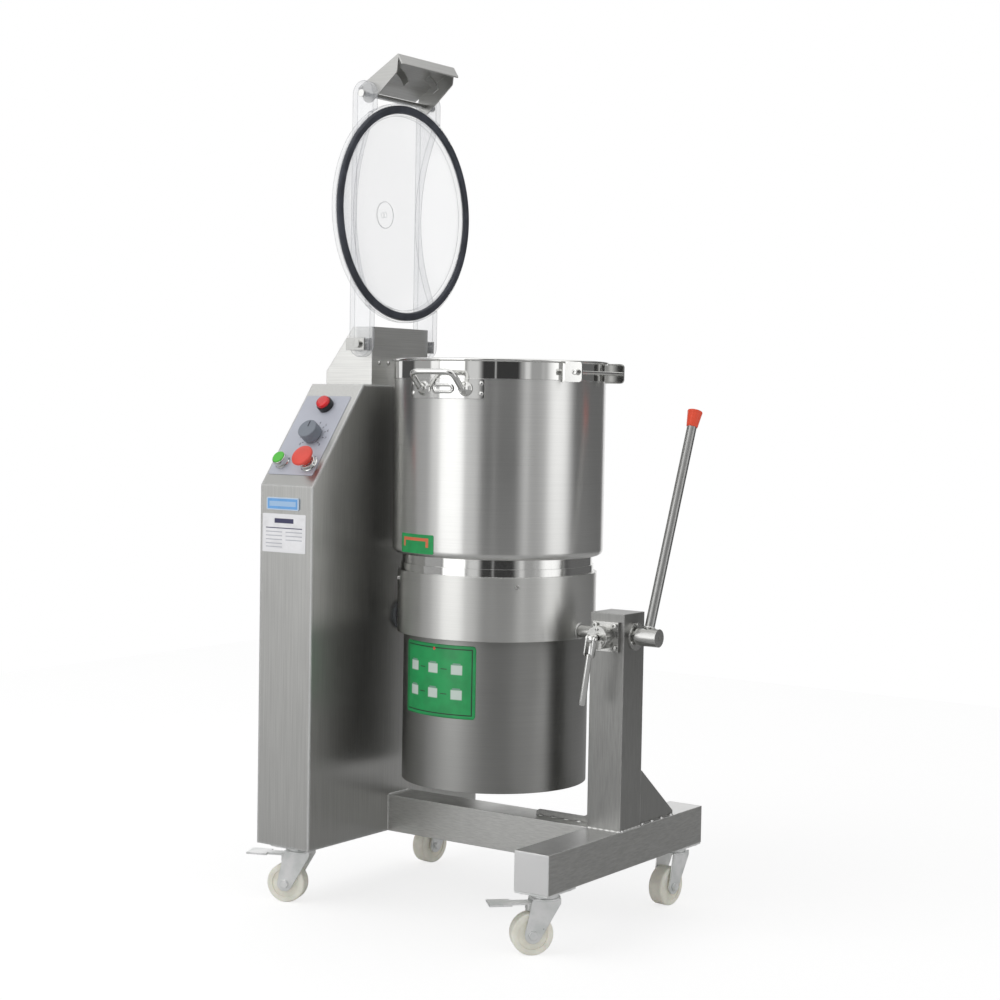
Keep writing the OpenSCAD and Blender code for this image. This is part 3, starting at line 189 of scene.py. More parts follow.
class Paint:
    """A node tree with one method for every node."""

    def __init__(self, tree):
        self.tree = tree

    def make(self, kind, settings=None, sockets=None, out=0):
        """Adds a node of a type, sets its settings, fills or links its sockets, and gives one of its outputs."""
        node = self.tree.nodes.new(kind)
        for key, value in (settings or {}).items():
            setattr(node, key, value)
        for key, value in (sockets or {}).items():
            self.feed(node.inputs[key], value)
        return Tone(self, node.outputs[out])

    def feed(self, socket, value):
        if isinstance(value, Tone):
            self.tree.links.new(value.socket, socket)
        elif socket.type == "RGBA":
            socket.default_value = (*tuple(value)[:3], 1.0)
        else:
            socket.default_value = value

    def mix(self, share, first, second):
        """Colour between first and second."""
        return self.make("ShaderNodeMix", {"data_type": "RGBA"}, {0: share, 6: first, 7: second}, 2)

    def axes(self, vector):
        node = self.make("ShaderNodeSeparateXYZ", None, {0: vector}).socket.node
        return [Tone(self, output) for output in node.outputs]

    def ray(self, kind):
        """1 for rays of a kind, else 0."""
        return self.make("ShaderNodeLightPath", None, None, f"Is {kind} Ray")


class Finish(Paint):
    """A material with one principled shader, laid out on object coordinates."""

    def __init__(self, name, **constants):
        self.material = bpy.data.materials.new(name)
        self.material.use_nodes = True
        super().__init__(self.material.node_tree)
        self.shader = self.tree.nodes["Principled BSDF"]
        self.place = self.make("ShaderNodeTexCoord", None, None, "Object")
        self.set(**constants)

    def set(self, **values):
        """Feeds the shader's sockets and gives the material."""
        for key, value in values.items():
            self.feed(self.shader.inputs[key.replace("_", " ")], value)
        return self.material

    def noise(self, grain, detail=2.0, rough=0.5):
        """Noise with a grain along X, Y and Z; one number stands for all three."""
        factors = grain if isinstance(grain, tuple) else (grain, grain, grain)
        drawn = self.make("ShaderNodeVectorMath", {"operation": "MULTIPLY"}, {0: self.place, 1: factors})
        return self.make("ShaderNodeTexNoise", None,
                         {"Vector": drawn, "Scale": 1.0, "Detail": detail, "Roughness": rough})

    def rounded(self, radius):
        """Normal that rolls over sharp edges within a radius."""
        return self.make("ShaderNodeBevel", {"samples": 4}, {"Radius": radius})

    def relief(self, height, depth, under=None):
        """Bump of a height field; depth is the height of one unit."""
        sockets = {"Strength": 1.0, "Distance": depth, "Height": height}
        if under is not None:
            sockets["Normal"] = under
        return self.make("ShaderNodeBump", None, sockets)

    def face(self):
        """The face's own normal."""
        return self.make("ShaderNodeNewGeometry", None, None, "True Normal")

    def edge_wear(self, rolled):
        """1 where the rolled normal leaves the face's own: the rolled edges, where steel and moulded plastic get a
        painted highlight and clear plastic painted shade.
        """
        along = self.make("ShaderNodeVectorMath", {"operation": "DOT_PRODUCT"}, {0: rolled, 1: self.face()}, 1)
        return (1 - along).ease(0.01, 0.25)

    def sheet(self):
        """Places across and up the piece's own map, 0 to 1."""
        return self.axes(self.make("ShaderNodeTexCoord", None, None, "UV"))[:2]

    def over(self, share, other):
        """Lays another shader over the principled one by a share, and gives the material."""
        both = self.make("ShaderNodeMixShader", None, {0: share})
        sockets = both.socket.node.inputs
        self.tree.links.new(self.shader.outputs[0], sockets[1])
        self.tree.links.new(other.socket, sockets[2])
        self.tree.links.new(both.socket, self.tree.nodes["Material Output"].inputs["Surface"])
        return self.material


def tinted(base, factor):
    return tuple(min(1.0, c * factor) for c in base)


def colours():
    return bpy.context.scene.cutter_colours


def sizes():
    return bpy.context.scene.cutter_sizes


# ---------------------------------------------------------------- finishes


def steel(name, tint, rough, grain, edge, cloud=0.06, streak=0.05, depth=2.0e-5, drawn_round=0.0, zone=None,
          edge_highlight_gain=1.22, edge_highlight_matt=0.0):
    """Steel with a drawn-out grain, slow clouds in its sheen and rolled edges that catch the light, their colour
    lightened as a painted highlight.
    """
    f = Finish(name, Metallic=1.0)
    lines = f.noise(grain, 3.0, 0.6)
    clouds = f.noise((7.0, 7.0, 5.0), 3.0)
    smudge = f.noise((26.0, 26.0, 19.0))
    rolled = f.rounded(edge)
    edge_highlight = f.edge_wear(rolled)
    shade = f.mix(lines.ease(0.25, 0.75), tinted(tint, 1 - streak * 1.6), tinted(tint, 1 + streak))
    # A zone lays a lighter or darker patch over the colour: painted shade on the cabinet's slope, a lighter end plate
    # and a painted highlight on the side beam's top.
    if zone:
        share, factor = zone(f)
        shade = f.mix(share, shade, tinted(tint, factor))
    # Painted highlight: the colour is lighter along the rolled edges, and less metallic there where a matt share is
    # given.
    shade = f.mix(edge_highlight.ease(0.08, 0.4) if edge_highlight_matt else edge_highlight * 0.55, shade, tinted(tint, edge_highlight_gain))
    sheen = rough + (lines - 0.5) * streak * 2 + (clouds - 0.5) * cloud * 2 + (smudge - 0.5) * 0.05
    f.set(Base_Color=shade, Roughness=sheen - edge_highlight * (rough * 0.25), Normal=f.relief(lines, depth, rolled))
    if drawn_round:
        f.set(Anisotropic=drawn_round, Anisotropic_Rotation=0.25)
    if edge_highlight_matt:
        f.set(Metallic=1 - edge_highlight.ease(0.08, 0.4) * edge_highlight_matt)
    return f.material


def duller_slope(f):
    """Where the cabinet's colour is darkened as painted shade: on the slope under the film, picked out by the tilt of
    its faces.
    """
    return f.axes(f.face())[2].window(0.4, 0.8, 0.05) * (1 - f.axes(f.place)[2].ease(0.74, 0.83)), 0.72


def brighter_ends(f):
    """Where the side beam's colour is lighter: on its front end plate, and less so on its top, where it is a painted
    highlight.
    """
    front = float(from_axis(0, BEAM_FRONT, 0)[1])
    plate = 1 - f.axes(f.place)[1].ease(front - 0.0004, front + 0.0004)
    return plate.most(f.axes(f.face())[2].ease(0.8, 0.95) * 0.4), 2.6


# Steel finishes: colour and its factor, roughness, grain, edge and its factor, and what differs from steel().
STEELS = {
    # cabinet, brushed along its height, with painted shade on its slope
    "sheet_steel_upright": ("sheet_steel", 1.08, 0.34, (900.0, 900.0, 9.0), "edge", 2.0,
                            dict(cloud=0.10, streak=0.07, zone=duller_slope, edge_highlight_gain=1.85, edge_highlight_matt=0.9)),
    # hinge housing, lighter and brushed across
    "sheet_steel_bright": ("sheet_steel", 1.6, 0.34, (12.0, 12.0, 900.0), "edge", 0.6, dict(edge_highlight_matt=0.5)),
    # cross beam and weld beads, then the side beam, with patchy brushing, a lighter end plate and a painted highlight
    # on its top
    "tube_steel": ("sheet_steel", 1.30, 0.36, (60.0, 60.0, 500.0), "edge", 0.8,
                   dict(cloud=0.14, streak=0.07, edge_highlight_gain=1.5, edge_highlight_matt=0.5)),
    "beam_steel": ("sheet_steel", 0.88, 0.36, (60.0, 60.0, 500.0), "edge", 0.8,
                   dict(cloud=0.14, streak=0.09, zone=brighter_ends, edge_highlight_gain=1.8, edge_highlight_matt=0.5)),
    # post and gussets
    "post_steel": ("sheet_steel", 0.62, 0.38, (500.0, 500.0, 30.0), "edge", 0.8,
                   dict(cloud=0.12, streak=0.07, edge_highlight_gain=1.9, edge_highlight_matt=0.4)),
    # thin bent sheet of the latch hood
    "hood_sheet": ("sheet_steel", 0.98, 0.36, (12.0, 12.0, 900.0), "fine_edge", 1.0, dict(cloud=0.1)),
    # tilt lever, ground along its length
    "lever_bar": ("bowl_steel", 0.52, 0.30, (300.0, 300.0, 12.0), "fine_edge", 1.0, dict(cloud=0.05)),
    # small turned and milled pieces
    "turned_steel": ("sheet_steel", 1.15, 0.22, (140.0, 900.0, 900.0), "fine_edge", 1.0, {}),
    # collar and housing, rolled and brushed round their axis
    "spun_collar": ("sheet_steel", 1.36, 0.36, (8.0, 8.0, 1100.0), "fine_edge", 2.0,
                    dict(cloud=0.04, streak=0.02, depth=6.0e-6, drawn_round=0.85)),
    "spun_housing": ("sheet_steel", 0.70, 0.42, (8.0, 8.0, 900.0), "fine_edge", 2.0,
                     dict(cloud=0.09, streak=0.03, depth=8.0e-6, drawn_round=0.5)),
    # polished rods, handles, neck and blades
    "mirror_steel": ("bowl_steel", 1.0, 0.10, (300.0, 300.0, 300.0), "fine_edge", 1.0,
                     dict(cloud=0.03, streak=0.02, depth=4.0e-6)),
}


def moulded(name, tint, rough, edge=0.0006, spread=0.07):
    """Moulded plastic: a fine skin, slow shading and soft edges with a painted highlight."""
    f = Finish(name)
    skin = f.noise(900.0)
    clouds = f.noise(30.0, 3.0)
    rolled = f.rounded(edge)
    shade = f.mix(clouds.ease(0.3, 0.7), tinted(tint, 1 - spread), tinted(tint, 1 + spread))
    # Painted highlight: lighter colour along the soft edges.
    shade = f.mix(f.edge_wear(rolled) * 0.3, shade, tinted(tint, 1.3))
    return f.set(Base_Color=shade, Roughness=rough + (clouds - 0.5) * 0.12 + (skin - 0.5) * 0.08,
                 Normal=f.relief(skin, 1.2e-5, rolled))


# Moulded plastics: colour, roughness, and what differs from moulded().
PLASTICS = {
    "stop_plastic": ("stop_red", 0.36, {}),
    "start_plastic": ("start_green", 0.40, {}),
    "grip_plastic": ("cap_red", 0.42, dict(edge=0.001)),
    "dial_plastic": ("dial_grey", 0.48, dict(spread=0.04)),
    "black_plastic": ((0.018, 0.018, 0.02), 0.35, {}),
    "drive_plastic": ((0.10, 0.11, 0.12), 0.5, dict(edge=0.002)),
}


def clear_plastic(name, body, rough, light, shine):
    """Clear plastic: nearly see-through face on, greyer, glossier and more solid toward its edges and cut faces."""
    f = Finish(name, IOR=1.49)
    facing = f.make("ShaderNodeLayerWeight", None, {"Blend": 0.35}, "Facing")
    haze = f.noise(11.0, 3.0)
    scratch = f.noise((90.0, 700.0, 60.0), 3.0, 0.7)
    tint = tinted(colours().clear, light)
    rolled = f.rounded(0.0022)
    cut = f.edge_wear(rolled)
    # Painted shade: the colour greys toward grazing angles and along the cut edges, where the plastic shows darker
    # outlines.
    f.set(Base_Color=f.mix(facing.ease(0.5, 1.0).most(cut), tint, tinted(tint, 0.42)),
          Roughness=rough + (haze - 0.5) * 0.04 + scratch.ease(0.62, 0.75) * 0.10,
          Alpha=(body + facing.ease(0.35, 1.0) * 0.5 + cut * 0.7 + (haze - 0.5) * 0.04).least(0.9),
          Normal=rolled)
    gloss = f.make("ShaderNodeBsdfGlossy", None, {"Roughness": 0.05, "Normal": rolled})
    return f.over(0.025 + facing ** 4 * shine, gloss)


# Clear plastics: share that is solid face on, roughness, lightness, and sheen at the edges.
CLEARS = {"dome_clear": (0.09, 0.05, 1.04, 0.2), "arm_clear": (0.16, 0.06, 1.02, 0.4)}


def bowl_steel(name):
    """Bowl: satin below the band, mirror bright on the band, the lip and inside the rim."""
    base = colours().bowl_steel
    f = Finish(name, Metallic=1.0, Anisotropic=0.85, Anisotropic_Rotation=0.25)
    lines = f.noise((7.0, 7.0, 1300.0), 3.0, 0.6)
    clouds = f.noise((9.0, 9.0, 4.0))
    band = f.axes(f.place)[2].ease(BOWL_TOP - 0.0318, BOWL_TOP - 0.0308)
    shade = f.mix(lines.ease(0.3, 0.7), tinted(base, 0.97), tinted(base, 1.03))
    sheen = 0.30 + (lines - 0.5) * 0.05 + (clouds - 0.5) * 0.10
    return f.set(Base_Color=f.mix(band, shade, tinted(base, 1.05)), Roughness=sheen * (1 - band * 0.78),
                 Normal=f.relief(lines * (1 - band * 0.9), 4.0e-6, f.rounded(sizes().fine_edge)))


def zinc_plate(name):
    """Bright zinc with a faint spangle."""
    f = Finish(name, Metallic=0.5)
    spangle = f.make("ShaderNodeTexVoronoi", None, {"Vector": f.place, "Scale": 160.0})
    clouds = f.noise(40.0, 4.0)
    rolled = f.rounded(sizes().fine_edge * 1.4)
    base = colours().zinc
    shade = f.mix(clouds.ease(0.3, 0.7), tinted(base, 1.15), tinted(base, 1.5))
    # Darker along its rolled edges.
    return f.set(Base_Color=f.mix(f.edge_wear(rolled) * 0.6, shade, (0.20, 0.21, 0.21)),
                 Roughness=0.30 + (clouds - 0.5) * 0.2 + spangle * 0.06, Normal=f.relief(clouds, 6.0e-5, rolled))


def cast_iron(name):
    """Painted casting with a sandy skin."""
    f = Finish(name, Metallic=0.3)
    sand = f.noise(700.0, 3.0)
    return f.set(Base_Color=f.mix(sand, (0.10, 0.11, 0.12), (0.20, 0.21, 0.22)),
                 Roughness=0.5 + (sand - 0.5) * 0.3, Normal=f.relief(sand, 1.5e-4))


def copper_winding(name):
    """Enamelled wire laid round the stator."""
    f = Finish(name, Metallic=0.6)
    turns = f.make("ShaderNodeTexWave", {"bands_direction": "Z"},
                   {"Vector": f.place, "Scale": 160.0, "Distortion": 1.5})
    return f.set(Base_Color=f.mix(turns, (0.30, 0.12, 0.05), (0.62, 0.30, 0.14)), Roughness=0.35 + turns * 0.1,
                 Normal=f.relief(turns, 3.0e-4))


def wheel_nylon(name):
    """Nylon with faint dark scuffs and marks all over, darker towards the bottom of the wheel."""
    f = Finish(name, Subsurface_Weight=0.08)
    base = colours().nylon
    clouds = f.noise(60.0, 4.0)
    scuff = f.noise(420.0, 5.0, 0.7)
    low = 1 - f.axes(f.place)[2].ease(0.0, 0.010)
    shade = f.mix(clouds.ease(0.35, 0.7), tinted(base, 1.2), tinted(base, 1.35))
    # Darker towards the bottom of the wheel.
    shade = f.mix(scuff.ease(0.62, 0.76) * (0.18 + low * 0.3), shade, (0.36, 0.34, 0.30))
    return f.set(Base_Color=shade, Roughness=0.42 + (scuff - 0.5) * 0.25,
                 Normal=f.relief(scuff, 6.0e-5, f.rounded(sizes().fine_edge)))


def gasket_rubber(name):
    """Smooth dark rubber with a dusty bloom."""
    f = Finish(name)
    base = colours().gasket
    bloom = f.noise(38.0, 4.0)
    skin = f.noise(800.0)
    return f.set(Base_Color=f.mix(bloom.ease(0.35, 0.75), base, tinted(base, 1.7)),
                 Roughness=0.46 + (bloom - 0.5) * 0.25, Normal=f.relief(skin, 3.0e-5))


def lamp_lens(name):
    """Red lens with an inner glow at its ribs, painted into its colour: lighter face on and darker toward its rim."""
    f = Finish(name, Coat_Weight=0.6, Coat_Roughness=0.05)
    facing = f.make("ShaderNodeLayerWeight", None, {"Blend": 0.4}, "Facing")
    cells = f.make("ShaderNodeTexVoronoi", None, {"Vector": f.place, "Scale": 420.0})
    red = colours().lamp_red
    # Painted glow: the red is lighter face on and darker toward the rim.
    return f.set(Base_Color=f.mix(facing, tinted(red, 1.5), tinted(red, 0.55)), Roughness=0.12 + cells * 0.12,
                 Normal=f.relief(cells, 1.5e-4))


def panel_film(name):
    """Printed film: pale lilac grey with a faint emboss."""
    f = Finish(name, Coat_Weight=0.15, Coat_Roughness=0.3)
    skin = f.noise(1400.0)
    clouds = f.noise(12.0)
    base = colours().overlay
    return f.set(Base_Color=f.mix(clouds.ease(0.3, 0.7), tinted(base, 0.96), tinted(base, 1.05)),
                 Roughness=0.45 + (skin - 0.5) * 0.15, Normal=f.relief(skin, 1.5e-5, f.rounded(0.0004)))


def dark_print(name):
    """Dark printing ink."""
    f = Finish(name)
    ink = f.noise(900.0)
    return f.set(Base_Color=f.mix(ink, (0.015, 0.015, 0.03), (0.035, 0.035, 0.06)),
                 Roughness=0.5 + (ink - 0.5) * 0.2)


SPECIALS = {make.__name__: make for make in (bowl_steel, zinc_plate, cast_iron, copper_winding, wheel_nylon,
                                             gasket_rubber, lamp_lens, panel_film, dark_print)}


@functools.cache
def coat(name):
    """The one material of a name."""
    if name in STEELS:
        base, factor, rough, grain, edge, widened, more = STEELS[name]
        return steel(name, tinted(getattr(colours(), base), factor), rough, grain,
                     getattr(sizes(), edge) * widened, **more)
    if name in PLASTICS:
        tint, rough, more = PLASTICS[name]
        return moulded(name, getattr(colours(), tint) if isinstance(tint, str) else tint, rough, **more)
    if name in CLEARS:
        return clear_plastic(name, *CLEARS[name])
    return SPECIALS[name](name)


# ---------------------------------------------------------------- surfaces


def surface(name, rows, material, wrap=True, uv=None):
    """A mesh on a grid of points, (rows, columns, 3), with one quad between four neighbours.
    wrap closes the columns, as on a turned shape, and merges the points of its poles."""
    rows = np.asarray(rows, float)
    n, m = rows.shape[:2]
    index = np.arange(n * m).reshape(n, m)
    right = np.roll(index, -1, axis=1) if wrap else index[:, 1:]
    left = index if wrap else index[:, :-1]
    quads = np.stack([left[:-1], right[:-1], right[1:], left[1:]], axis=-1).reshape(-1, 4)
    mesh = bpy.data.meshes.new(name)
    mesh.from_pydata(rows.reshape(-1, 3), [], quads.tolist())
    if uv is not None:
        layer = mesh.uv_layers.new(name="pattern")
        layer.data.foreach_set("uv", np.asarray(uv, np.float32).reshape(-1, 2)[quads.reshape(-1)].reshape(-1))
    if wrap:
        bm = bmesh.new()
        bm.from_mesh(mesh)
        bmesh.ops.remove_doubles(bm, verts=bm.verts, dist=1e-7)
        bmesh.ops.recalc_face_normals(bm, faces=bm.faces)
        bm.to_mesh(mesh)
        bm.free()
    mesh.polygons.foreach_set("use_smooth", np.full(len(mesh.polygons), True))
    mesh.materials.append(material)
    piece = bpy.data.objects.new(name, mesh)
    bpy.context.scene.collection.objects.link(piece)
    return piece


def settle(piece, body, slot, *stands_for):
    """Lets a piece ride on its body and hides the solids that it stands for; its slot is not used."""
    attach(piece, body)
    if stands_for:
        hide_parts(*stands_for)


def joined(name, pieces):
    """One object from several, with their modifiers applied and their materials kept."""
    for piece in pieces:
        for modifier in list(piece.modifiers):
            with bpy.context.temp_override(object=piece, active_object=piece):
                bpy.ops.object.modifier_apply(modifier=modifier.name)
    bpy.ops.object.select_all(action="DESELECT")
    for piece in pieces:
        piece.select_set(True)
    bpy.context.view_layer.objects.active = pieces[0]
    bpy.ops.object.join()
    pieces[0].name = name
    pieces[0].data.name = name
    return pieces[0]


def crease(piece, angle=35.0):
    """Keeps edges sharper than an angle crisp."""
    piece.data.set_sharp_from_angle(angle=math.radians(angle))
    return piece


def placed(points, origin, across, up, out):
    """Points in a local frame taken to the model's frame."""
    points = np.asarray(points, float)
    return origin + points[..., :1] * across + points[..., 1:2] * up + points[..., 2:3] * out


def turned(profile, count=64, wobble=None):
    """Rows of a turned shape: each (radius, height) of the profile goes round the local Z axis.
    wobble(angle, row share) adds to the radius."""
    profile = np.asarray(profile, float)
    angle = np.linspace(0, 2 * math.pi, count, endpoint=False)
    radius = np.repeat(profile[:, :1], count, axis=1)
    if wobble is not None:
        radius = radius + wobble(angle[None, :], np.linspace(0, 1, len(profile))[:, None]) * (radius > 1e-9)
    return np.stack([radius * np.cos(angle), radius * np.sin(angle),
                     np.repeat(profile[:, 1:2], count, axis=1)], axis=-1)


def rounded_line(corners, radius, steps=5, reach=0.45):
    """A line whose inner corners are rounded: each becomes a quadratic arc between the points a radius away from
    it on both sides, or reach times the side's length where the side is short."""
    corners = np.asarray(corners, float)
    line = [corners[0]]
    t = np.linspace(0, 1, steps)[:, None]
    for before, corner, after in zip(corners[:-2], corners[1:-1], corners[2:]):
        a, b = before - corner, after - corner
        la, lb = np.linalg.norm(a), np.linalg.norm(b)
        r = min(radius, la * reach, lb * reach)
        line.extend((1 - t) ** 2 * (corner + a / la * r) + 2 * t * (1 - t) * corner + t ** 2 * (corner + b / lb * r))
    return np.array([*line, corners[-1]])


def lengths(path):
    """Length of a path up to each of its points."""
    return np.concatenate([[0], np.cumsum(np.linalg.norm(np.diff(path, axis=0), axis=1))])


def smooth_path(corners, radius, step):
    """A path through corner points, rounded as in rounded_line, with points at even steps along it."""
    line = rounded_line(corners, radius, 9, 0.48)
    run = lengths(line)
    even = np.linspace(0, run[-1], max(8, int(run[-1] / step)))
    return np.stack([np.interp(even, run, line[:, i]) for i in range(3)], axis=-1)


def swept(path, radius, count, up):
    """Rows of a closed tube along a path: at each point a circle of the given radius stands square to the path,
    turned by the up direction, which must not run along it."""
    path = np.asarray(path, float)
    radius = np.broadcast_to(np.asarray(radius, float), (len(path),))
    tangent = np.gradient(path, axis=0)
    tangent /= np.linalg.norm(tangent, axis=1, keepdims=True)
    side = np.cross(np.asarray(up, float)[None, :], tangent)
    side /= np.linalg.norm(side, axis=1, keepdims=True)
    other = np.cross(tangent, side)
    angle = np.linspace(0, 2 * math.pi, count, endpoint=False)
    ring = np.cos(angle)[None, :, None] * side[:, None, :] + np.sin(angle)[None, :, None] * other[:, None, :]
    rows = path[:, None, :] + ring * radius[:, None, None]
    return np.concatenate([np.repeat(path[:1, None, :], count, 1), rows, np.repeat(path[-1:, None, :], count, 1)])


def circle(centre, radius, across, up):
    """Points once round a centre, the last on the first."""
    t = np.linspace(0, 2 * math.pi, 60)[:, None]
    return centre + radius * (np.cos(t) * across + np.sin(t) * up)


def leaf(width, height, corner, columns=41, rows=25):
    """A rounded rectangle as a grid: across it the half height shrinks near the ends by the corner's circle."""
    s = np.linspace(-1, 1, columns) * width / 2
    past = np.clip(np.abs(s) - (width / 2 - corner), 0, corner)
    half = height / 2 - (corner - np.sqrt(np.maximum(corner ** 2 - past ** 2, 0)))
    v = np.linspace(-1, 1, rows)
    return np.repeat(s[None, :], rows, 0), v[:, None] * half[None, :]


def level(x, y):
    """Points of a grid at height 0."""
    return np.stack([x, y, np.zeros_like(x)], axis=-1)


def thick(piece, depth, bevel=0.0):
    """Gives a sheet its thickness on its outer side, with a small bevel."""
    wall = piece.modifiers.new("wall", "SOLIDIFY")
    wall.thickness = depth
    wall.offset = 1.0
    if bevel:
        edge = piece.modifiers.new("edge", "BEVEL")
        edge.width = bevel
        edge.segments = 2
        edge.limit_method = "ANGLE"
    return piece


def flat_plate(name, place, width, height, corner, depth, material, bevel=0.0002):
    """A rounded plate on a flat place, given as its origin and axes."""
    x, y = leaf(width, height, corner)
    uv = np.stack([x / width + 0.5, y / height + 0.5], axis=-1)
    return thick(surface(name, placed(level(x, y), *place), material, wrap=False, uv=uv), depth, bevel)


def round_plate(name, radius, angle, z, width, height, corner, depth, material, press=None, bevel=0.0):
    """A rounded plate bent round the bowl's axis: width runs along the arc, press(s, h) lifts it outward."""
    s, h = leaf(width, height, corner, 97, 49)
    lift = 0.0 if press is None else press(s, h)
    turn = angle + s / radius
    rows = np.stack([BOWL_AXIS[0] + (radius + lift) * np.cos(turn), BOWL_AXIS[1] + (radius + lift) * np.sin(turn),
                     z + h], axis=-1)
    uv = np.stack([s / width + 0.5, h / height + 0.5], axis=-1)
    return thick(surface(name, rows, material, wrap=False, uv=uv), depth, bevel)


def finish(**solids):
    """Gives carried-over solids their finishes: each finish comes with the names of its solids."""
    for name, nodes in solids.items():
        for node in nodes.split():
            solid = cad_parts[node]
            if not solid.material_slots:
                solid.data.materials.append(None)
            for slot in solid.material_slots:
                slot.material = coat(name)


def screw_head(name, rows, place, normal, material, angle):
    """Turned rows that stand on a place and face along a normal."""
    out = np.asarray(normal, float) / np.linalg.norm(normal)
    across = np.cross(Z if abs(normal[2]) < 0.9 else X, out)
    across /= np.linalg.norm(across)
    return crease(surface(name, placed(rows, np.asarray(place, float), across, np.cross(out, across), out), material),
                  angle)


def socket_screw(name, place, normal, r, h, material):
    """Cap screw of radius r and height h: a turned head with a rounded rim and a six-sided socket."""

    def six(angle, share):
        corner = np.cos(np.pi / 6) / np.cos((angle + np.pi / 6) % (np.pi / 3) - np.pi / 6)
        return np.where(share > 0.72, r * 0.5 * (corner - 1.0), 0.0)

    line = [(0, 0), (r, 0), (r, h * 0.82), (r * 0.94, h * 0.96), (r * 0.86, h), (r * 0.62, h), (r * 0.5, h),
            (r * 0.5, h * 0.45), (0, h * 0.4)]
    return screw_head(name, turned(line, 36, six), place, normal, material, 40)


def pan_screw(name, place, normal, r, h, material):
    """Domed head of radius r: its height h falls as the square of the distance from its middle."""
    share = np.linspace(1, 0, 9)
    line = np.concatenate([[[0, 0], [r, 0]], np.stack([r * share, h * (1 - 0.75 * share ** 2)], -1)])
    return screw_head(name, turned(line, 28), place, normal, material, 50)


# ---------------------------------------------------------------- stage

# Windows seen in the metal: first and last angle from the camera's side, softness and brightness.
WINDOWS = ((-67.7, -38.5, 1.3, 1.6), (-106.0, -69.0, 3.0, 0.36), (-146.0, -133.0, 2.0, 0.9),
           (-133.0, -107.0, 4.0, 0.04), (-37.0, -21.0, 4.0, 0.66), (-6.0, -4.2, 0.6, 0.35), (21.0, 48.0, 3.0, 0.34),
           (26.0, 32.0, 2.0, 0.34), (52.0, 82.0, 10.0, 1.2), (92.0, 150.0, 8.0, 0.10))


CAMERA_SIDE = math.radians(-55.17)


def studio_tone(paint, direction):
    """Soft panels seen in the metal: brightness over the angle from the camera's side, and a bright ceiling."""
    turn = CAMERA_SIDE
    x, y, z = paint.axes(direction)
    ahead = x * math.cos(turn) + y * math.sin(turn)
    right = y * math.cos(turn) - x * math.sin(turn)
    angle = paint.make("ShaderNodeMath", {"operation": "ARCTAN2"}, {0: right, 1: ahead}) * math.degrees(1)
    tone = 0.045
    for low, high, soft, bright in WINDOWS:
        tone = angle.window(low, high, soft) * bright + tone
    tone = tone + angle.window(-80.0, -68.0, 1.5) * z.ease(0.0, 0.02) * 0.9
    tone = tone.most(abs(angle).ease(150.0, 160.0) * 0.95)
    return tone.most(z.ease(0.40, 0.68) * 1.05)


class CUTTER_OT_stage(Operator):
    """Floor, background, soft light and the camera"""
    bl_idname = "cutter.stage"
    bl_label = "Stage"

    def execute(self, context):
        stage = context.scene.cutter_stage
        world = bpy.data.worlds.new("studio")
        world.use_nodes = True
        sky = Paint(world.node_tree)
        tone = studio_tone(sky, sky.make("ShaderNodeTexCoord", None, None, "Generated"))
        seen, metal = sky.ray("Camera").most(sky.ray("Transmission")), sky.ray("Glossy")
        bright = seen + (1 - seen) * (metal * tone + (1 - metal) * stage.daylight)
        sky.feed(world.node_tree.nodes["Background"].inputs["Color"], sky.make(
            "ShaderNodeCombineXYZ", None, {0: bright, 1: bright, 2: bright}))
        context.scene.world = world

        size = 2.6
        f = Finish("pale_floor", Roughness=1.0)
        pale = f.mix(f.noise(3.0), (0.93, 0.93, 0.93), (0.96, 0.96, 0.96))
        f.set(Base_Color=f.mix(f.ray("Glossy"), pale, (0.52, 0.52, 0.52)))
        glow = f.make("ShaderNodeEmission", None, {"Color": (1.0, 1.0, 1.0), "Strength": 1.22})
        ends = np.linspace(-size, size, 2)
        surface("floor", level(*np.meshgrid(ends, ends)), f.over(f.ray("Camera") * 0.6, glow), wrap=False)

        lamp = bpy.data.objects.new("key_lamp", bpy.data.lights.new("key_lamp", "AREA"))
        lamp.data.shape = "RECTANGLE"
        lamp.data.size, lamp.data.size_y = 2.6, 2.0
        lamp.data.energy = stage.key
        lamp.location = Vector((-1.2, -2.0, 2.9))
        target = Vector((0.0, 0.0, 0.6))
        lamp.rotation_euler = (target - lamp.location).to_track_quat("-Z", "Y").to_euler()
        lamp.visible_glossy = False
        context.scene.collection.objects.link(lamp)

        eye = bpy.data.objects.new("camera", bpy.data.cameras.new("camera"))
        eye.data.lens = stage.lens
        eye.data.sensor_width = 36.0
        eye.data.clip_end = 60.0
        turn, lift, roll = stage.azimuth, stage.elevation, stage.roll
        back = Vector((math.sin(turn) * math.cos(lift), -math.cos(turn) * math.cos(lift), math.sin(lift)))
        across = Vector((math.cos(turn), math.sin(turn), 0.0))
        up = back.cross(across)
        matrix = Matrix((across * math.cos(roll) + up * math.sin(roll), up * math.cos(roll) - across * math.sin(roll),
                         back)).transposed().to_4x4()
        matrix.translation = Vector((BOWL_AXIS[0] + stage.place[0], BOWL_AXIS[1] + stage.place[1], stage.place[2]))
        eye.matrix_world = matrix
        context.scene.collection.objects.link(eye)
        context.scene.camera = eye
        context.scene.view_settings.view_transform = "Standard"
        return {"FINISHED"}


# ---------------------------------------------------------------- frame and cabinet


def bead(name, corners, radius):
    """Weld bead along corner points: a round rope whose radius swells and shrinks like overlapped drops."""
    path = smooth_path(corners, 0.004, 0.0009)
    run = lengths(path)
    swell = 1 + 0.13 * np.sin(run / 0.0017) + 0.06 * np.sin(run / 0.0061 + 1.0)
    swell[:2] *= 0.6
    swell[-2:] *= 0.6
    return surface(name, swept(path, radius * swell, 10, (0.53, 0.62, 0.58)), coat("tube_steel"))


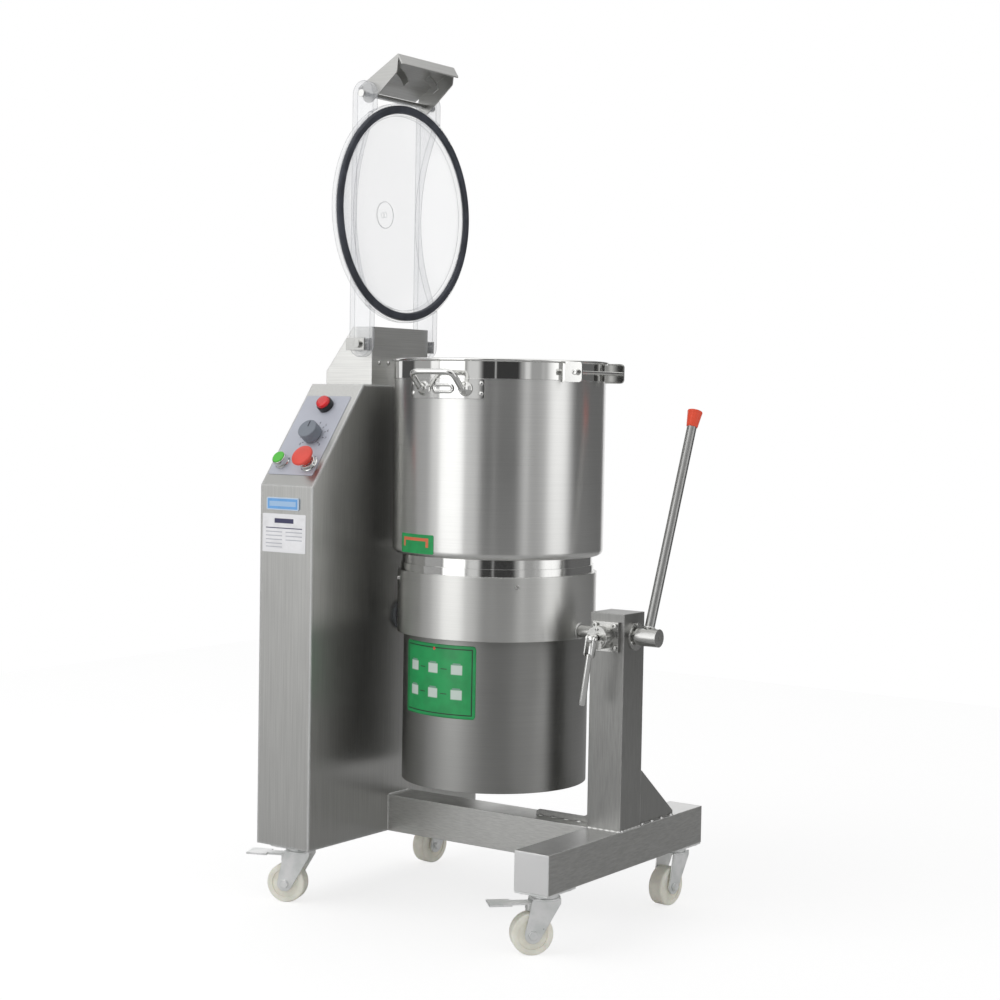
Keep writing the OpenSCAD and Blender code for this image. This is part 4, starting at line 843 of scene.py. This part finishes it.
class CUTTER_OT_frame(Operator):
    """Cabinet, hinge housing, beams, post and gussets, with their weld beads and screws"""
    bl_idname = "cutter.frame"
    bl_label = "Frame and cabinet"

    def execute(self, context):
        finish(sheet_steel_upright="cabinet cabinet_covers", sheet_steel_bright="hinge_housing",
               tube_steel="cross_beam", beam_steel="side_beam", post_steel="post gussets",
               cast_iron="left_bearing", turned_steel="post_bushes hinge_brackets",
               drive_plastic="speed_drive", gasket_rubber="cable_gland")
        # The cross beam's ends x0 and x1, the side beam's far side x2, the beams' foot and top.
        low, high, x0, x1, x2, foot, top = -30.0, 30.0, -192.5, 199.0, 259.0, 97.5, 156.6
        runs = [[(x0, low, foot), (x0, low, top), (x0, high, top), (x0, high, foot)],
                [(x1, low, foot), (x1, low, top - 0.5)],
                [(x1 - 0.2, low, top), (x1 - 0.2, high, top)],
                [(x1 - 0.2, high, foot), (x1 - 0.2, high, top - 0.5)],
                [(x2, low + 2, top), (x2, high, top), (x1 + 2, high, top)],
                [(x1, low, top), (x2, low, top)],
                *([(x1 - a, -3.6, top), (x1 - a + 9, -3.6, top)] for a in (108, 84, 60, 36)),
                *([(x2 - 3, a, top), (x2 - 3, a + 9, top)] for a in (38, 68, 98, 128))]
        beads = [bead(f"weld_{k}", [from_axis(*p) for p in run], sizes().weld * (0.55 if k == 2 else 0.8))
                 for k, run in enumerate(runs)]
        settle(joined("frame_welds", beads), "frame", "stainless")

        bolt = coat("turned_steel")
        screws = [pan_screw(f"housing_screw_{k}", from_axis(-204.5, y, 874), X, 3.6 * MM, 2.0 * MM, bolt)
                  for k, y in enumerate((-55.5, -31.5))]
        for a in (-17, 17):
            for b in (-17, 17):
                screws.append(socket_screw(f"lock_screw_{a}_{b}", from_axis(LOCK_X + a, -36, TILT_HIGH + b), -Y,
                                           4.6 * MM, 4.6 * MM, bolt))
        for a in (90, 210, 330):
            c, s = math.cos(math.radians(a)), math.sin(math.radians(a))
            bush, cap = from_axis(264, 17.6 * c, TILT_HIGH + 17.6 * s), from_axis(LOCK_X + 13 * c, -61, TILT_HIGH + 13 * s)
            screws.append(socket_screw(f"bush_screw_{a}", bush, X, 2.4 * MM, 1.8 * MM, bolt))
            screws.append(socket_screw(f"lock_cap_screw_{a}", cap, -Y, 2.6 * MM, 2.2 * MM, bolt))
        for x, y in ((-246.5, -190), (229, -190), (-246.5, 183.5), (229, 190)):
            for a in (-21.75, 21.75):
                for b in (-28.5, 28.5):
                    screws.append(pan_screw("caster_screw", from_axis(x + a, y + b, 93.6), -Z, 6.0 * MM, 3.0 * MM,
                                            bolt))
        settle(joined("frame_bolts", screws), "frame", "bright_stainless", "frame_screws")
        return {"FINISHED"}


# ---------------------------------------------------------------- control panel


def plate_paint(name, ground, border, rules):
    """Blank printed plate on its own map: a ground, a border and a few thin lines."""
    f = Finish(name, Coat_Weight=0.2, Coat_Roughness=0.2)
    u, v = f.sheet()
    fade = f.noise(60.0)
    inside = u.window(0.035, 0.965, 0.008) * v.window(0.09, 0.91, 0.02)
    shade = f.mix(fade.ease(0.3, 0.7), tinted(ground, 0.93), tinted(ground, 1.05))
    shade = f.mix(inside, border, shade)
    for u0, u1, v0, v1, ink in rules:
        shade = f.mix(u.window(u0, u1, 0.004) * v.window(v0, v1, 0.006), shade, ink)
    return f.set(Base_Color=shade, Roughness=0.38 + (fade - 0.5) * 0.15)


def tick(k, place, ray):
    """One mark of the dial, a thin bar that points along a ray from the knob's middle."""
    centre, across, up, out = place
    bar = level(*np.meshgrid(np.array([-0.6, 0.6]) * MM, np.array([19.2, 22.4]) * MM))
    mark = surface(f"tick_{k}", placed(bar, centre, np.cross(out, ray), ray, out), coat("dark_print"), wrap=False)
    return thick(mark, 0.06 * MM)


def figure(k, place, ray):
    """One plain figure of the dial, outside its mark."""
    name = f"figure_{k}"
    text = bpy.data.curves.new(name, "FONT")
    text.body = str(k)
    text.size = 6.2 * MM
    text.align_x, text.align_y = "CENTER", "CENTER"
    text.extrude = 0.03 * MM
    draft = bpy.data.objects.new(name, text)
    scene = bpy.context.scene
    scene.collection.objects.link(draft)
    mesh = bpy.data.meshes.new_from_object(draft.evaluated_get(bpy.context.evaluated_depsgraph_get()))
    bpy.data.objects.remove(draft)
    points = np.zeros(len(mesh.vertices) * 3)
    mesh.vertices.foreach_get("co", points)
    centre, across, up, out = place
    at = centre + ray * 26.2 * MM + out * 0.03 * MM
    mesh.vertices.foreach_set("co", placed(points.reshape(-1, 3), at, across, up, out).ravel())
    mesh.materials.clear()
    mesh.materials.append(coat("dark_print"))
    number = bpy.data.objects.new(name, mesh)
    scene.collection.objects.link(number)
    return number


class CUTTER_OT_panel(Operator):
    """Film, dial marks, badge and rating plate on the cabinet"""
    bl_idname = "cutter.panel"
    bl_label = "Panel plates"

    def execute(self, context):
        film = flat_plate("panel_film", panel_frame(49.5, 100.0, 0.05), 93 * MM, 158 * MM, 1.5 * MM, 0.75 * MM,
                          coat("panel_film"))
        settle(film, "frame", "overlay", "panel_plates")

        marks = []
        for k in range(9):
            angle = math.radians(220 - k * 260 / 8)
            place = panel_frame(*KNOB, FILM_TOP + 0.04)
            ray = place[1] * math.cos(angle) + place[2] * math.sin(angle)
            marks += [tick(k, place, ray), figure(k, place, ray)]
        settle(joined("dial_marks", marks), "frame", "overlay")

        blue = tinted(colours().badge_blue, 1.12)
        pale, grey, dark = (0.93, 0.93, 0.95), (0.50, 0.51, 0.56), (0.05, 0.05, 0.12)
        badge = plate_paint("badge_print", blue, (0.62, 0.74, 0.88), [(0.09, 0.91, 0.30, 0.70, (0.42, 0.62, 0.88))])
        rules = [(0.08, 0.46, y, y + 0.022, grey) for y in (0.52, 0.42, 0.32, 0.22, 0.13)]
        rules += [(0.54, 0.92, y, y + 0.022, grey) for y in (0.52, 0.42, 0.32)]
        rules += [(0.08, 0.92, 0.62, 0.645, dark), (0.28, 0.72, 0.76, 0.88, dark)]
        rating = plate_paint("rating_print", pale, pale, rules)
        for name, x, z, width, height, corner, depth, paint, bevel in (
                ("badge", -252.5, 646, 67, 20, 2.2, 2.6, badge, 0.0005),
                ("rating_plate", -250.7, 599.2, 90, 61.5, 0.8, 0.6, rating, 0.0002)):
            place = from_axis(x, CABINET_FRONT - 0.1, z), X, Z, -Y
            settle(flat_plate(name, place, width * MM, height * MM, corner * MM, depth * MM, paint, bevel),
                   "frame", "overlay")
        return {"FINISHED"}


class CUTTER_OT_controls(Operator):
    """Pilot lamp, speed knob, stop and start buttons with their rings"""
    bl_idname = "cutter.controls"
    bl_label = "Controls"

    def turned_piece(self, name, place, profile, material, count=64, wobble=None, angle=38.0):
        """A turned shape that stands on the panel; the profile is in millimetres, its heights from the film."""
        profile = np.asarray(profile) + (0, FILM_TOP)
        rows = placed(turned(profile * MM, count, wobble), *panel_frame(*place))
        return crease(surface(name, rows, coat(material)), angle)

    def execute(self, context):
        lens = rounded_line([(0, 4), (11.6, 4), (12.0, 12), (10.9, 15.0), (7.0, 16.0), (0, 16.2)], 1.2)
        settle(self.turned_piece("lamp_lens", LAMP, lens, "lamp_lens", 48,
                                 lambda a, s: 0.10 * MM * np.cos(a * 24) * (s > 0.2) * (s < 0.8)),
               "frame", "red_plastic", "pilot_lamp")
        rings = [self.turned_piece(name, place, rounded_line(profile, radius), material)
                 for name, place, radius, material, profile in (
                     ("lamp_bezel", LAMP, 0.5, "black_plastic",
                      [(8, 0), (13.4, 0), (13.4, 8.6), (12.9, 9.8), (12.1, 9.8), (11.9, 4.2), (8, 4.2), (8, 0)]),
                     ("stop_ring", STOP, 0.5, "mirror_steel",
                      [(6.2, 0), (15.6, 0), (15.6, 2.0), (14.0, 3.2), (13.2, 7.0), (12.4, 8.6), (10.3, 8.6),
                       (10.3, 2.2), (6.2, 2.2), (6.2, 0)]),
                     ("start_ring", START, 0.4, "mirror_steel",
                      [(6.2, 0), (13.6, 0), (13.6, 1.8), (12.6, 3.0), (11.9, 5.6), (12.2, 7.6), (11.8, 13.2),
                       (10.9, 13.6), (10.8, 6.0), (6.2, 6.0), (6.2, 0)]),
                     ("dial_boss", KNOB, 0.4, "mirror_steel",
                      [(3.2, 0), (13.8, 0), (13.8, 1.4), (12.6, 2.4), (3.2, 2.4), (3.2, 0)]))]
        settle(joined("control_rings", rings), "frame", "bright_stainless", "control_bases")

        ridges, cut = sizes().knurls, sizes().knurl_depth
        base = 2.8

        def knurl(angle, share):
            """Crossed ridges: the sum of two waves that lean both ways up the side."""
            zone = (share > 0.18) & (share < 0.62)
            lean = share * 26.0
            wave = np.cos(angle * ridges + lean) + np.cos(angle * ridges - lean)
            return np.where(zone, -cut * (0.5 - 0.25 * wave), 0.0)

        knob = [(0, -0.2), (15.6, -0.2), (16.6, 0.6), (16.9, 2.6), (17.1, 3.0),
                *((17.0, h) for h in np.linspace(3.4, 17.2, 30)),
                (16.9, 17.8), (16.2, 18.6), (15.4, 18.9), (13.0, 18.6), (11.0, 18.5), (6.0, 18.45), (0, 18.4)]
        settle(self.turned_piece("speed_knob_knurled", KNOB, np.asarray(knob) + (0, base), "dial_plastic",
                                 ridges * 6, knurl, 60.0), "knob", "grey_plastic", "speed_knob")
        x, y = leaf(1.5 * MM, 11.0 * MM, 0.7 * MM, 9, 21)
        rows = placed(level(x, y + 9.0 * MM), *panel_frame(*KNOB, FILM_TOP + base + 18.75))
        pointer = surface("knob_pointer", rows, coat("dark_print"), wrap=False)
        settle(thick(pointer, 0.2 * MM), "knob", "grey_plastic")

        stop = rounded_line([(0, 8.7), (9.4, 8.7), (9.6, 15.4), (12.8, 17.6), (18.4, 20.6), (19.0, 22.8),
                             (17.8, 25.2), (12.0, 26.6), (5.0, 27.0), (0, 27.1)], 1.6)
        settle(self.turned_piece("stop_mushroom", STOP, stop, "stop_plastic", 72), "stop", "red_plastic",
               "stop_button")
        start = rounded_line([(0, 9.4), (10.5, 9.4), (10.5, 14.2), (9.7, 15.0), (5.0, 14.7), (0, 14.6)], 0.8)
        settle(self.turned_piece("start_cap", START, start, "start_plastic", 56), "start", "green_plastic",
               "start_button")
        return {"FINISHED"}


# ---------------------------------------------------------------- bowl


def press(s, h):
    """Raised oval rib of the handle plate: the height falls off as a bell over the distance from a flat oval."""
    d = np.hypot(np.maximum(np.abs(s) - 11.5 * MM, 0), h)
    return 1.3 * MM * np.exp(-((d - 5.2 * MM) / (1.3 * MM)) ** 2)


def sticker(name, paint_name, body, draw, grain, radius, angle, z, width, height, corner):
    """Sticker without words: draw(f, u, v, ground) gives the colour of its print over the green ground."""
    f = Finish(paint_name, Coat_Weight=0.25, Coat_Roughness=0.15)
    green = colours().sticker_green
    fade = f.noise(grain)
    ground = f.mix(fade.ease(0.3, 0.7), tinted(green, 0.9), tinted(green, 1.12))
    f.set(Base_Color=draw(f, *f.sheet(), ground), Roughness=0.35 + (fade - 0.5) * 0.12)
    settle(round_plate(name, radius + 0.0001, math.radians(angle), z, width * MM, height * MM, corner * MM,
                       sizes().sticker, f.material), body, "overlay")


def bracket_print(f, u, v, ground):
    """An orange bracket that opens downward."""
    bar = u.window(0.10, 0.87, 0.006) * v.window(0.66, 0.82, 0.012)
    legs = (u.window(0.10, 0.165, 0.006).most(u.window(0.80, 0.87, 0.006))) * v.window(0.34, 0.80, 0.012)
    return f.mix(bar.most(legs), ground, colours().sticker_orange)


def fields_print(f, u, v, ground):
    """A dark border, a red dot, and two rows of three pale fields with a rule over each and lines between."""
    line = (u.window(0.035, 0.965, 0.003) * v.window(0.045, 0.955, 0.004)
            - u.window(0.047, 0.953, 0.003) * v.window(0.060, 0.940, 0.004)).most(0.0)
    shade = f.mix(line, ground, (0.01, 0.02, 0.015))
    for v0 in (0.60, 0.26):
        for u0 in (0.12, 0.42, 0.72):
            shade = f.mix(u.window(u0, u0 + 0.13, 0.006) * v.window(v0, v0 + 0.13, 0.01), shade, (0.62, 0.72, 0.66))
            shade = f.mix(u.window(u0 + 0.02, u0 + 0.11, 0.006) * v.window(v0 + 0.135, v0 + 0.155, 0.004), shade,
                          (0.20, 0.34, 0.28))
        for u0 in (0.29, 0.59):
            shade = f.mix(u.window(u0, u0 + 0.08, 0.003) * v.window(v0 + 0.06, v0 + 0.072, 0.002), shade,
                          (0.02, 0.05, 0.03))
    dot = (u - 0.5) * (u - 0.5) * 1.66 + (v - 0.935) * (v - 0.935)
    return f.mix(1 - dot.ease(0.0003, 0.0006), shade, (0.75, 0.06, 0.05))


class CUTTER_OT_bowl(Operator):
    """Bowl finish, handles on their plates, rivets, catch and stickers"""
    bl_idname = "cutter.bowl"
    bl_label = "Bowl"

    def execute(self, context):
        finish(bowl_steel="bowl_shell", mirror_steel="catch_ears catch_rod")
        shine = coat("mirror_steel")
        plate_high, plate_skin = 31 * MM, 0.0018
        z0 = BOWL_TOP - BAND_HIGH - plate_high / 2
        half = 37.5  # from a handle's middle to each of its feet, in millimetres
        start = math.sqrt(BOWL_RADIUS ** 2 - (half * MM) ** 2) + plate_skin
        loops, rivets = [], []
        for k, angle in enumerate((math.radians(-86), math.radians(94))):
            plate = round_plate(f"handle_plate_{k}", BOWL_RADIUS + 0.0004, angle, z0, 136 * MM, plate_high, 3.5 * MM,
                                1.5 * MM, shine, press, 0.0003)
            settle(plate, "bowl", "bright_stainless", *(("handle_plates",) if k == 0 else ()))
            ray = X * math.cos(angle) + Y * math.sin(angle)
            side = Y * math.cos(angle) - X * math.sin(angle)
            axis = np.array([*BOWL_AXIS, z0])

            def spot(r, t, h):
                return axis + ray * r + side * t * MM + Z * h * MM

            path = smooth_path([spot(start + 0.004, -half, 0), spot(start + 0.011, -half, 0),
                                spot(start + 0.0385, -half, 25), spot(start + 0.0385, half, 25),
                                spot(start + 0.011, half, 0), spot(start + 0.004, half, 0)], 0.014, 0.0012)
            loops.append(surface(f"handle_loop_{k}", swept(path, sizes().handle_bar / 2, 20, ray + Z * 0.35), shine))
            boss = rounded_line([(0, -0.003), (0.0122, -0.003), (0.0118, 0.0022), (0.0088, 0.0050),
                                 (0.0062, 0.0095), (0.0050, 0.0150), (0, 0.0155)], 0.002)
            for t in (-half, half):
                loops.append(surface(f"handle_boss_{k}_{t}",
                                     placed(turned(boss, 40), spot(start - 0.001, t, 0), side, Z, ray), shine))
            for a in (-1, 1):
                turn = angle + a * math.radians(21)
                normal = X * math.cos(turn) + Y * math.sin(turn)
                for b in (-7.75, 7.75):
                    place = axis + normal * (BOWL_RADIUS + plate_skin) + Z * b * MM
                    rivets.append(pan_screw(f"rivet_{k}_{a}_{b}", place, normal, 3.6 * MM, 2.0 * MM, shine))
        settle(joined("handle_bars", loops), "bowl", "bright_stainless", "handle_loops")
        settle(joined("handle_rivets", rivets), "bowl", "bright_stainless", "bowl_rivets")
        bolts = [socket_screw("catch_bolt", from_axis(184.6, 66.4 * way, 861), Y * way, 4.4 * MM, 3.0 * MM, shine)
                 for way in (-1, 1)]
        settle(joined("catch_bolts", bolts), "bowl", "bright_stainless")
        sticker("bowl_sticker", "small_sticker_print", "bowl", bracket_print, 50.0, BOWL_RADIUS, -104.2, 0.591,
                79, 30, 2)
        return {"FINISHED"}


# ---------------------------------------------------------------- lid and latch


class CUTTER_OT_lid(Operator):
    """Clear dome and arms, gasket, rod and the latch hood"""
    bl_idname = "cutter.lid"
    bl_label = "Lid and latch"

    def execute(self, context):
        finish(dome_clear="lid_dome", arm_clear="lid_arms", gasket_rubber="lid_gasket", mirror_steel="latch_rod",
               hood_sheet="latch_hood")
        return {"FINISHED"}


# ---------------------------------------------------------------- motor unit, lever and lock


class CUTTER_OT_motor_unit(Operator):
    """Collar, housing and seat with the parts inside, the collar's screws and the large sticker"""
    bl_idname = "cutter.motor_unit"
    bl_label = "Motor unit"

    def execute(self, context):
        finish(spun_collar="collar", spun_housing="motor_housing", mirror_steel="bowl_seat",
               cast_iron="motor_frame rotor_core", copper_winding="motor_stator",
               turned_steel="motor_bearings rotor_shaft trunnion_shafts", gasket_rubber="shaft_seal")
        screws = []
        for k in range(4):
            turn = math.radians(-44 + k * 90)
            normal = X * math.cos(turn) + Y * math.sin(turn)
            place = np.array([*BOWL_AXIS, COLLAR_SCREWS_HIGH]) + normal * COLLAR_RADIUS
            screws.append(socket_screw(f"collar_screw_{k}", place, normal, 3.4 * MM, 2.4 * MM, coat("turned_steel")))
        settle(joined("collar_cap_screws", screws), "tilt", "bright_stainless", "collar_screws")
        sticker("housing_sticker", "large_sticker_print", "tilt", fields_print, 40.0, HOUSING_RADIUS, -95.1,
                0.379, 147.5, 114, 5)
        return {"FINISHED"}


class CUTTER_OT_lever(Operator):
    """Tilt lever with its hub and grip, and the lock with its forked handle"""
    bl_idname = "cutter.lever"
    bl_label = "Lever and lock"

    def execute(self, context):
        finish(turned_steel="lever_hub lock_body", lever_bar="tilt_lever")
        lean = math.radians(21)
        way = Y * math.sin(lean) + Z * math.cos(lean)
        side = np.cross(way, X)
        foot = from_axis(283, 0, TILT_HIGH)
        grip = rounded_line([(0.0, 345.2), (8.3, 345.0), (8.9, 346.0), (9.8, 354), (11.2, 366), (12.0, 371.4),
                             (11.0, 372.0), (9.8, 371.0), (0, 370.4)], 0.8)

        def pleat(angle, share):
            """Shallow pleats that deepen toward the open end."""
            return 0.35 * MM * np.cos(angle * 9) * share * (share < 0.75)

        cap = surface("lever_grip", placed(turned(grip * MM, 72, pleat), foot, X, side, way), coat("grip_plastic"))
        settle(crease(cap, 45), "tilt", "red_plastic", "lever_cap")
        weld = coat("tube_steel")
        ring = circle(foot + way * 14.6 * MM, 8.4 * MM, X, side)
        settle(surface("lever_weld", swept(ring, 1.5 * MM, 10, way), weld), "tilt", "stainless")
        hoops = [surface(f"shaft_weld_{k}", swept(circle(from_axis(x, 0, TILT_HIGH), 11.2 * MM, Y, Z), 1.9 * MM, 10, X),
                         weld) for k, x in enumerate((-160.0, 160.0))]
        settle(joined("shaft_welds", hoops), "tilt", "stainless")

        shine = coat("mirror_steel")
        head = from_axis(LOCK_X, -75, TILT_HIGH)
        tilt = math.radians(8)
        down = -X * math.sin(tilt) - Z * math.cos(tilt)
        out = -Y
        flatwise = np.cross(down, out)
        bar = head + out * 0.001
        run = np.linspace(0, 1, 40)
        width = np.interp(run, [0, 0.06, 0.94, 1.0], [0.0042, 0.0046, 0.0057, 0.0052])
        handle = [crease(surface("lock_lever", swept(bar + down * (0.024 + 0.0796 * run[:, None]), width, 28, out),
                                 shine), 40)]
        for name, r, z0, z1, z2, count, place in (
                ("lock_stem", 0.0049, -0.0115, 0.0070, 0.0074, 40, (head, X, Z, out)),
                ("lock_pin", 0.0026, -0.0100, 0.0100, 0.0100, 24, (bar, out, down, flatwise))):
            profile = rounded_line([(0, z0), (r, z0), (r, z1), (0, z2)], 0.0006)
            handle.append(crease(surface(name, placed(turned(profile, count), *place), shine)))
        for k, shift in enumerate((-0.0076, 0.0049)):
            cheek = placed(level(*leaf(0.0105, 0.034, 0.0050, 21, 31)), bar + down * 0.0115 + flatwise * shift,
                           out, -down, flatwise)
            handle.append(thick(surface(f"lock_fork_{k}", cheek, shine, wrap=False), 0.0027, 0.0004))
        settle(joined("lock_lever_forked", handle), "lock", "bright_stainless", "lock_handle")
        return {"FINISHED"}


# ---------------------------------------------------------------- casters and blades


class CUTTER_OT_casters(Operator):
    """Casters: zinc forks and pedals, nylon wheels"""
    bl_idname = "cutter.casters"
    bl_label = "Casters"

    def execute(self, context):
        finish(zinc_plate="caster_plates brake_pedal_left brake_pedal_right")
        for corner in ("front_left", "front_right", "rear_left", "rear_right"):
            finish(zinc_plate=f"fork_{corner}", wheel_nylon=f"wheel_{corner}")
        return {"FINISHED"}


class CUTTER_OT_blades(Operator):
    """Blade hub, blades and nut"""
    bl_idname = "cutter.blades"
    bl_label = "Blades"

    def execute(self, context):
        finish(mirror_steel="blades", turned_steel="blade_hub blade_nut")
        return {"FINISHED"}


# ---------------------------------------------------------------- add-on


STEPS = (CUTTER_OT_stage, CUTTER_OT_frame, CUTTER_OT_panel, CUTTER_OT_controls, CUTTER_OT_bowl, CUTTER_OT_lid,
         CUTTER_OT_motor_unit, CUTTER_OT_lever, CUTTER_OT_casters, CUTTER_OT_blades)


class CUTTER_PT_panel(Panel):
    """Lists the steps and the settings"""
    bl_idname = "CUTTER_PT_panel"
    bl_label = "Bowl Cutter"
    bl_space_type = "VIEW_3D"
    bl_region_type = "UI"
    bl_category = "Bowl Cutter"

    def draw(self, context):
        for step in STEPS:
            self.layout.operator(step.bl_idname)
        for group in (context.scene.cutter_colours, context.scene.cutter_sizes, context.scene.cutter_stage):
            box = self.layout.box()
            for name in group.__annotations__:
                box.prop(group, name)


CLASSES = (CutterColours, CutterSizes, CutterStage, *STEPS, CUTTER_PT_panel)


def register():
    for item in CLASSES:
        bpy.utils.register_class(item)
    bpy.types.Scene.cutter_colours = PointerProperty(type=CutterColours)
    bpy.types.Scene.cutter_sizes = PointerProperty(type=CutterSizes)
    bpy.types.Scene.cutter_stage = PointerProperty(type=CutterStage)


def unregister():
    del bpy.types.Scene.cutter_stage
    del bpy.types.Scene.cutter_sizes
    del bpy.types.Scene.cutter_colours
    for item in reversed(CLASSES):
        bpy.utils.unregister_class(item)


def main():
    register()
    for step in STEPS:
        family, name = step.bl_idname.split(".")
        getattr(getattr(bpy.ops, family), name)()


if __name__ == "__main__":
    main()
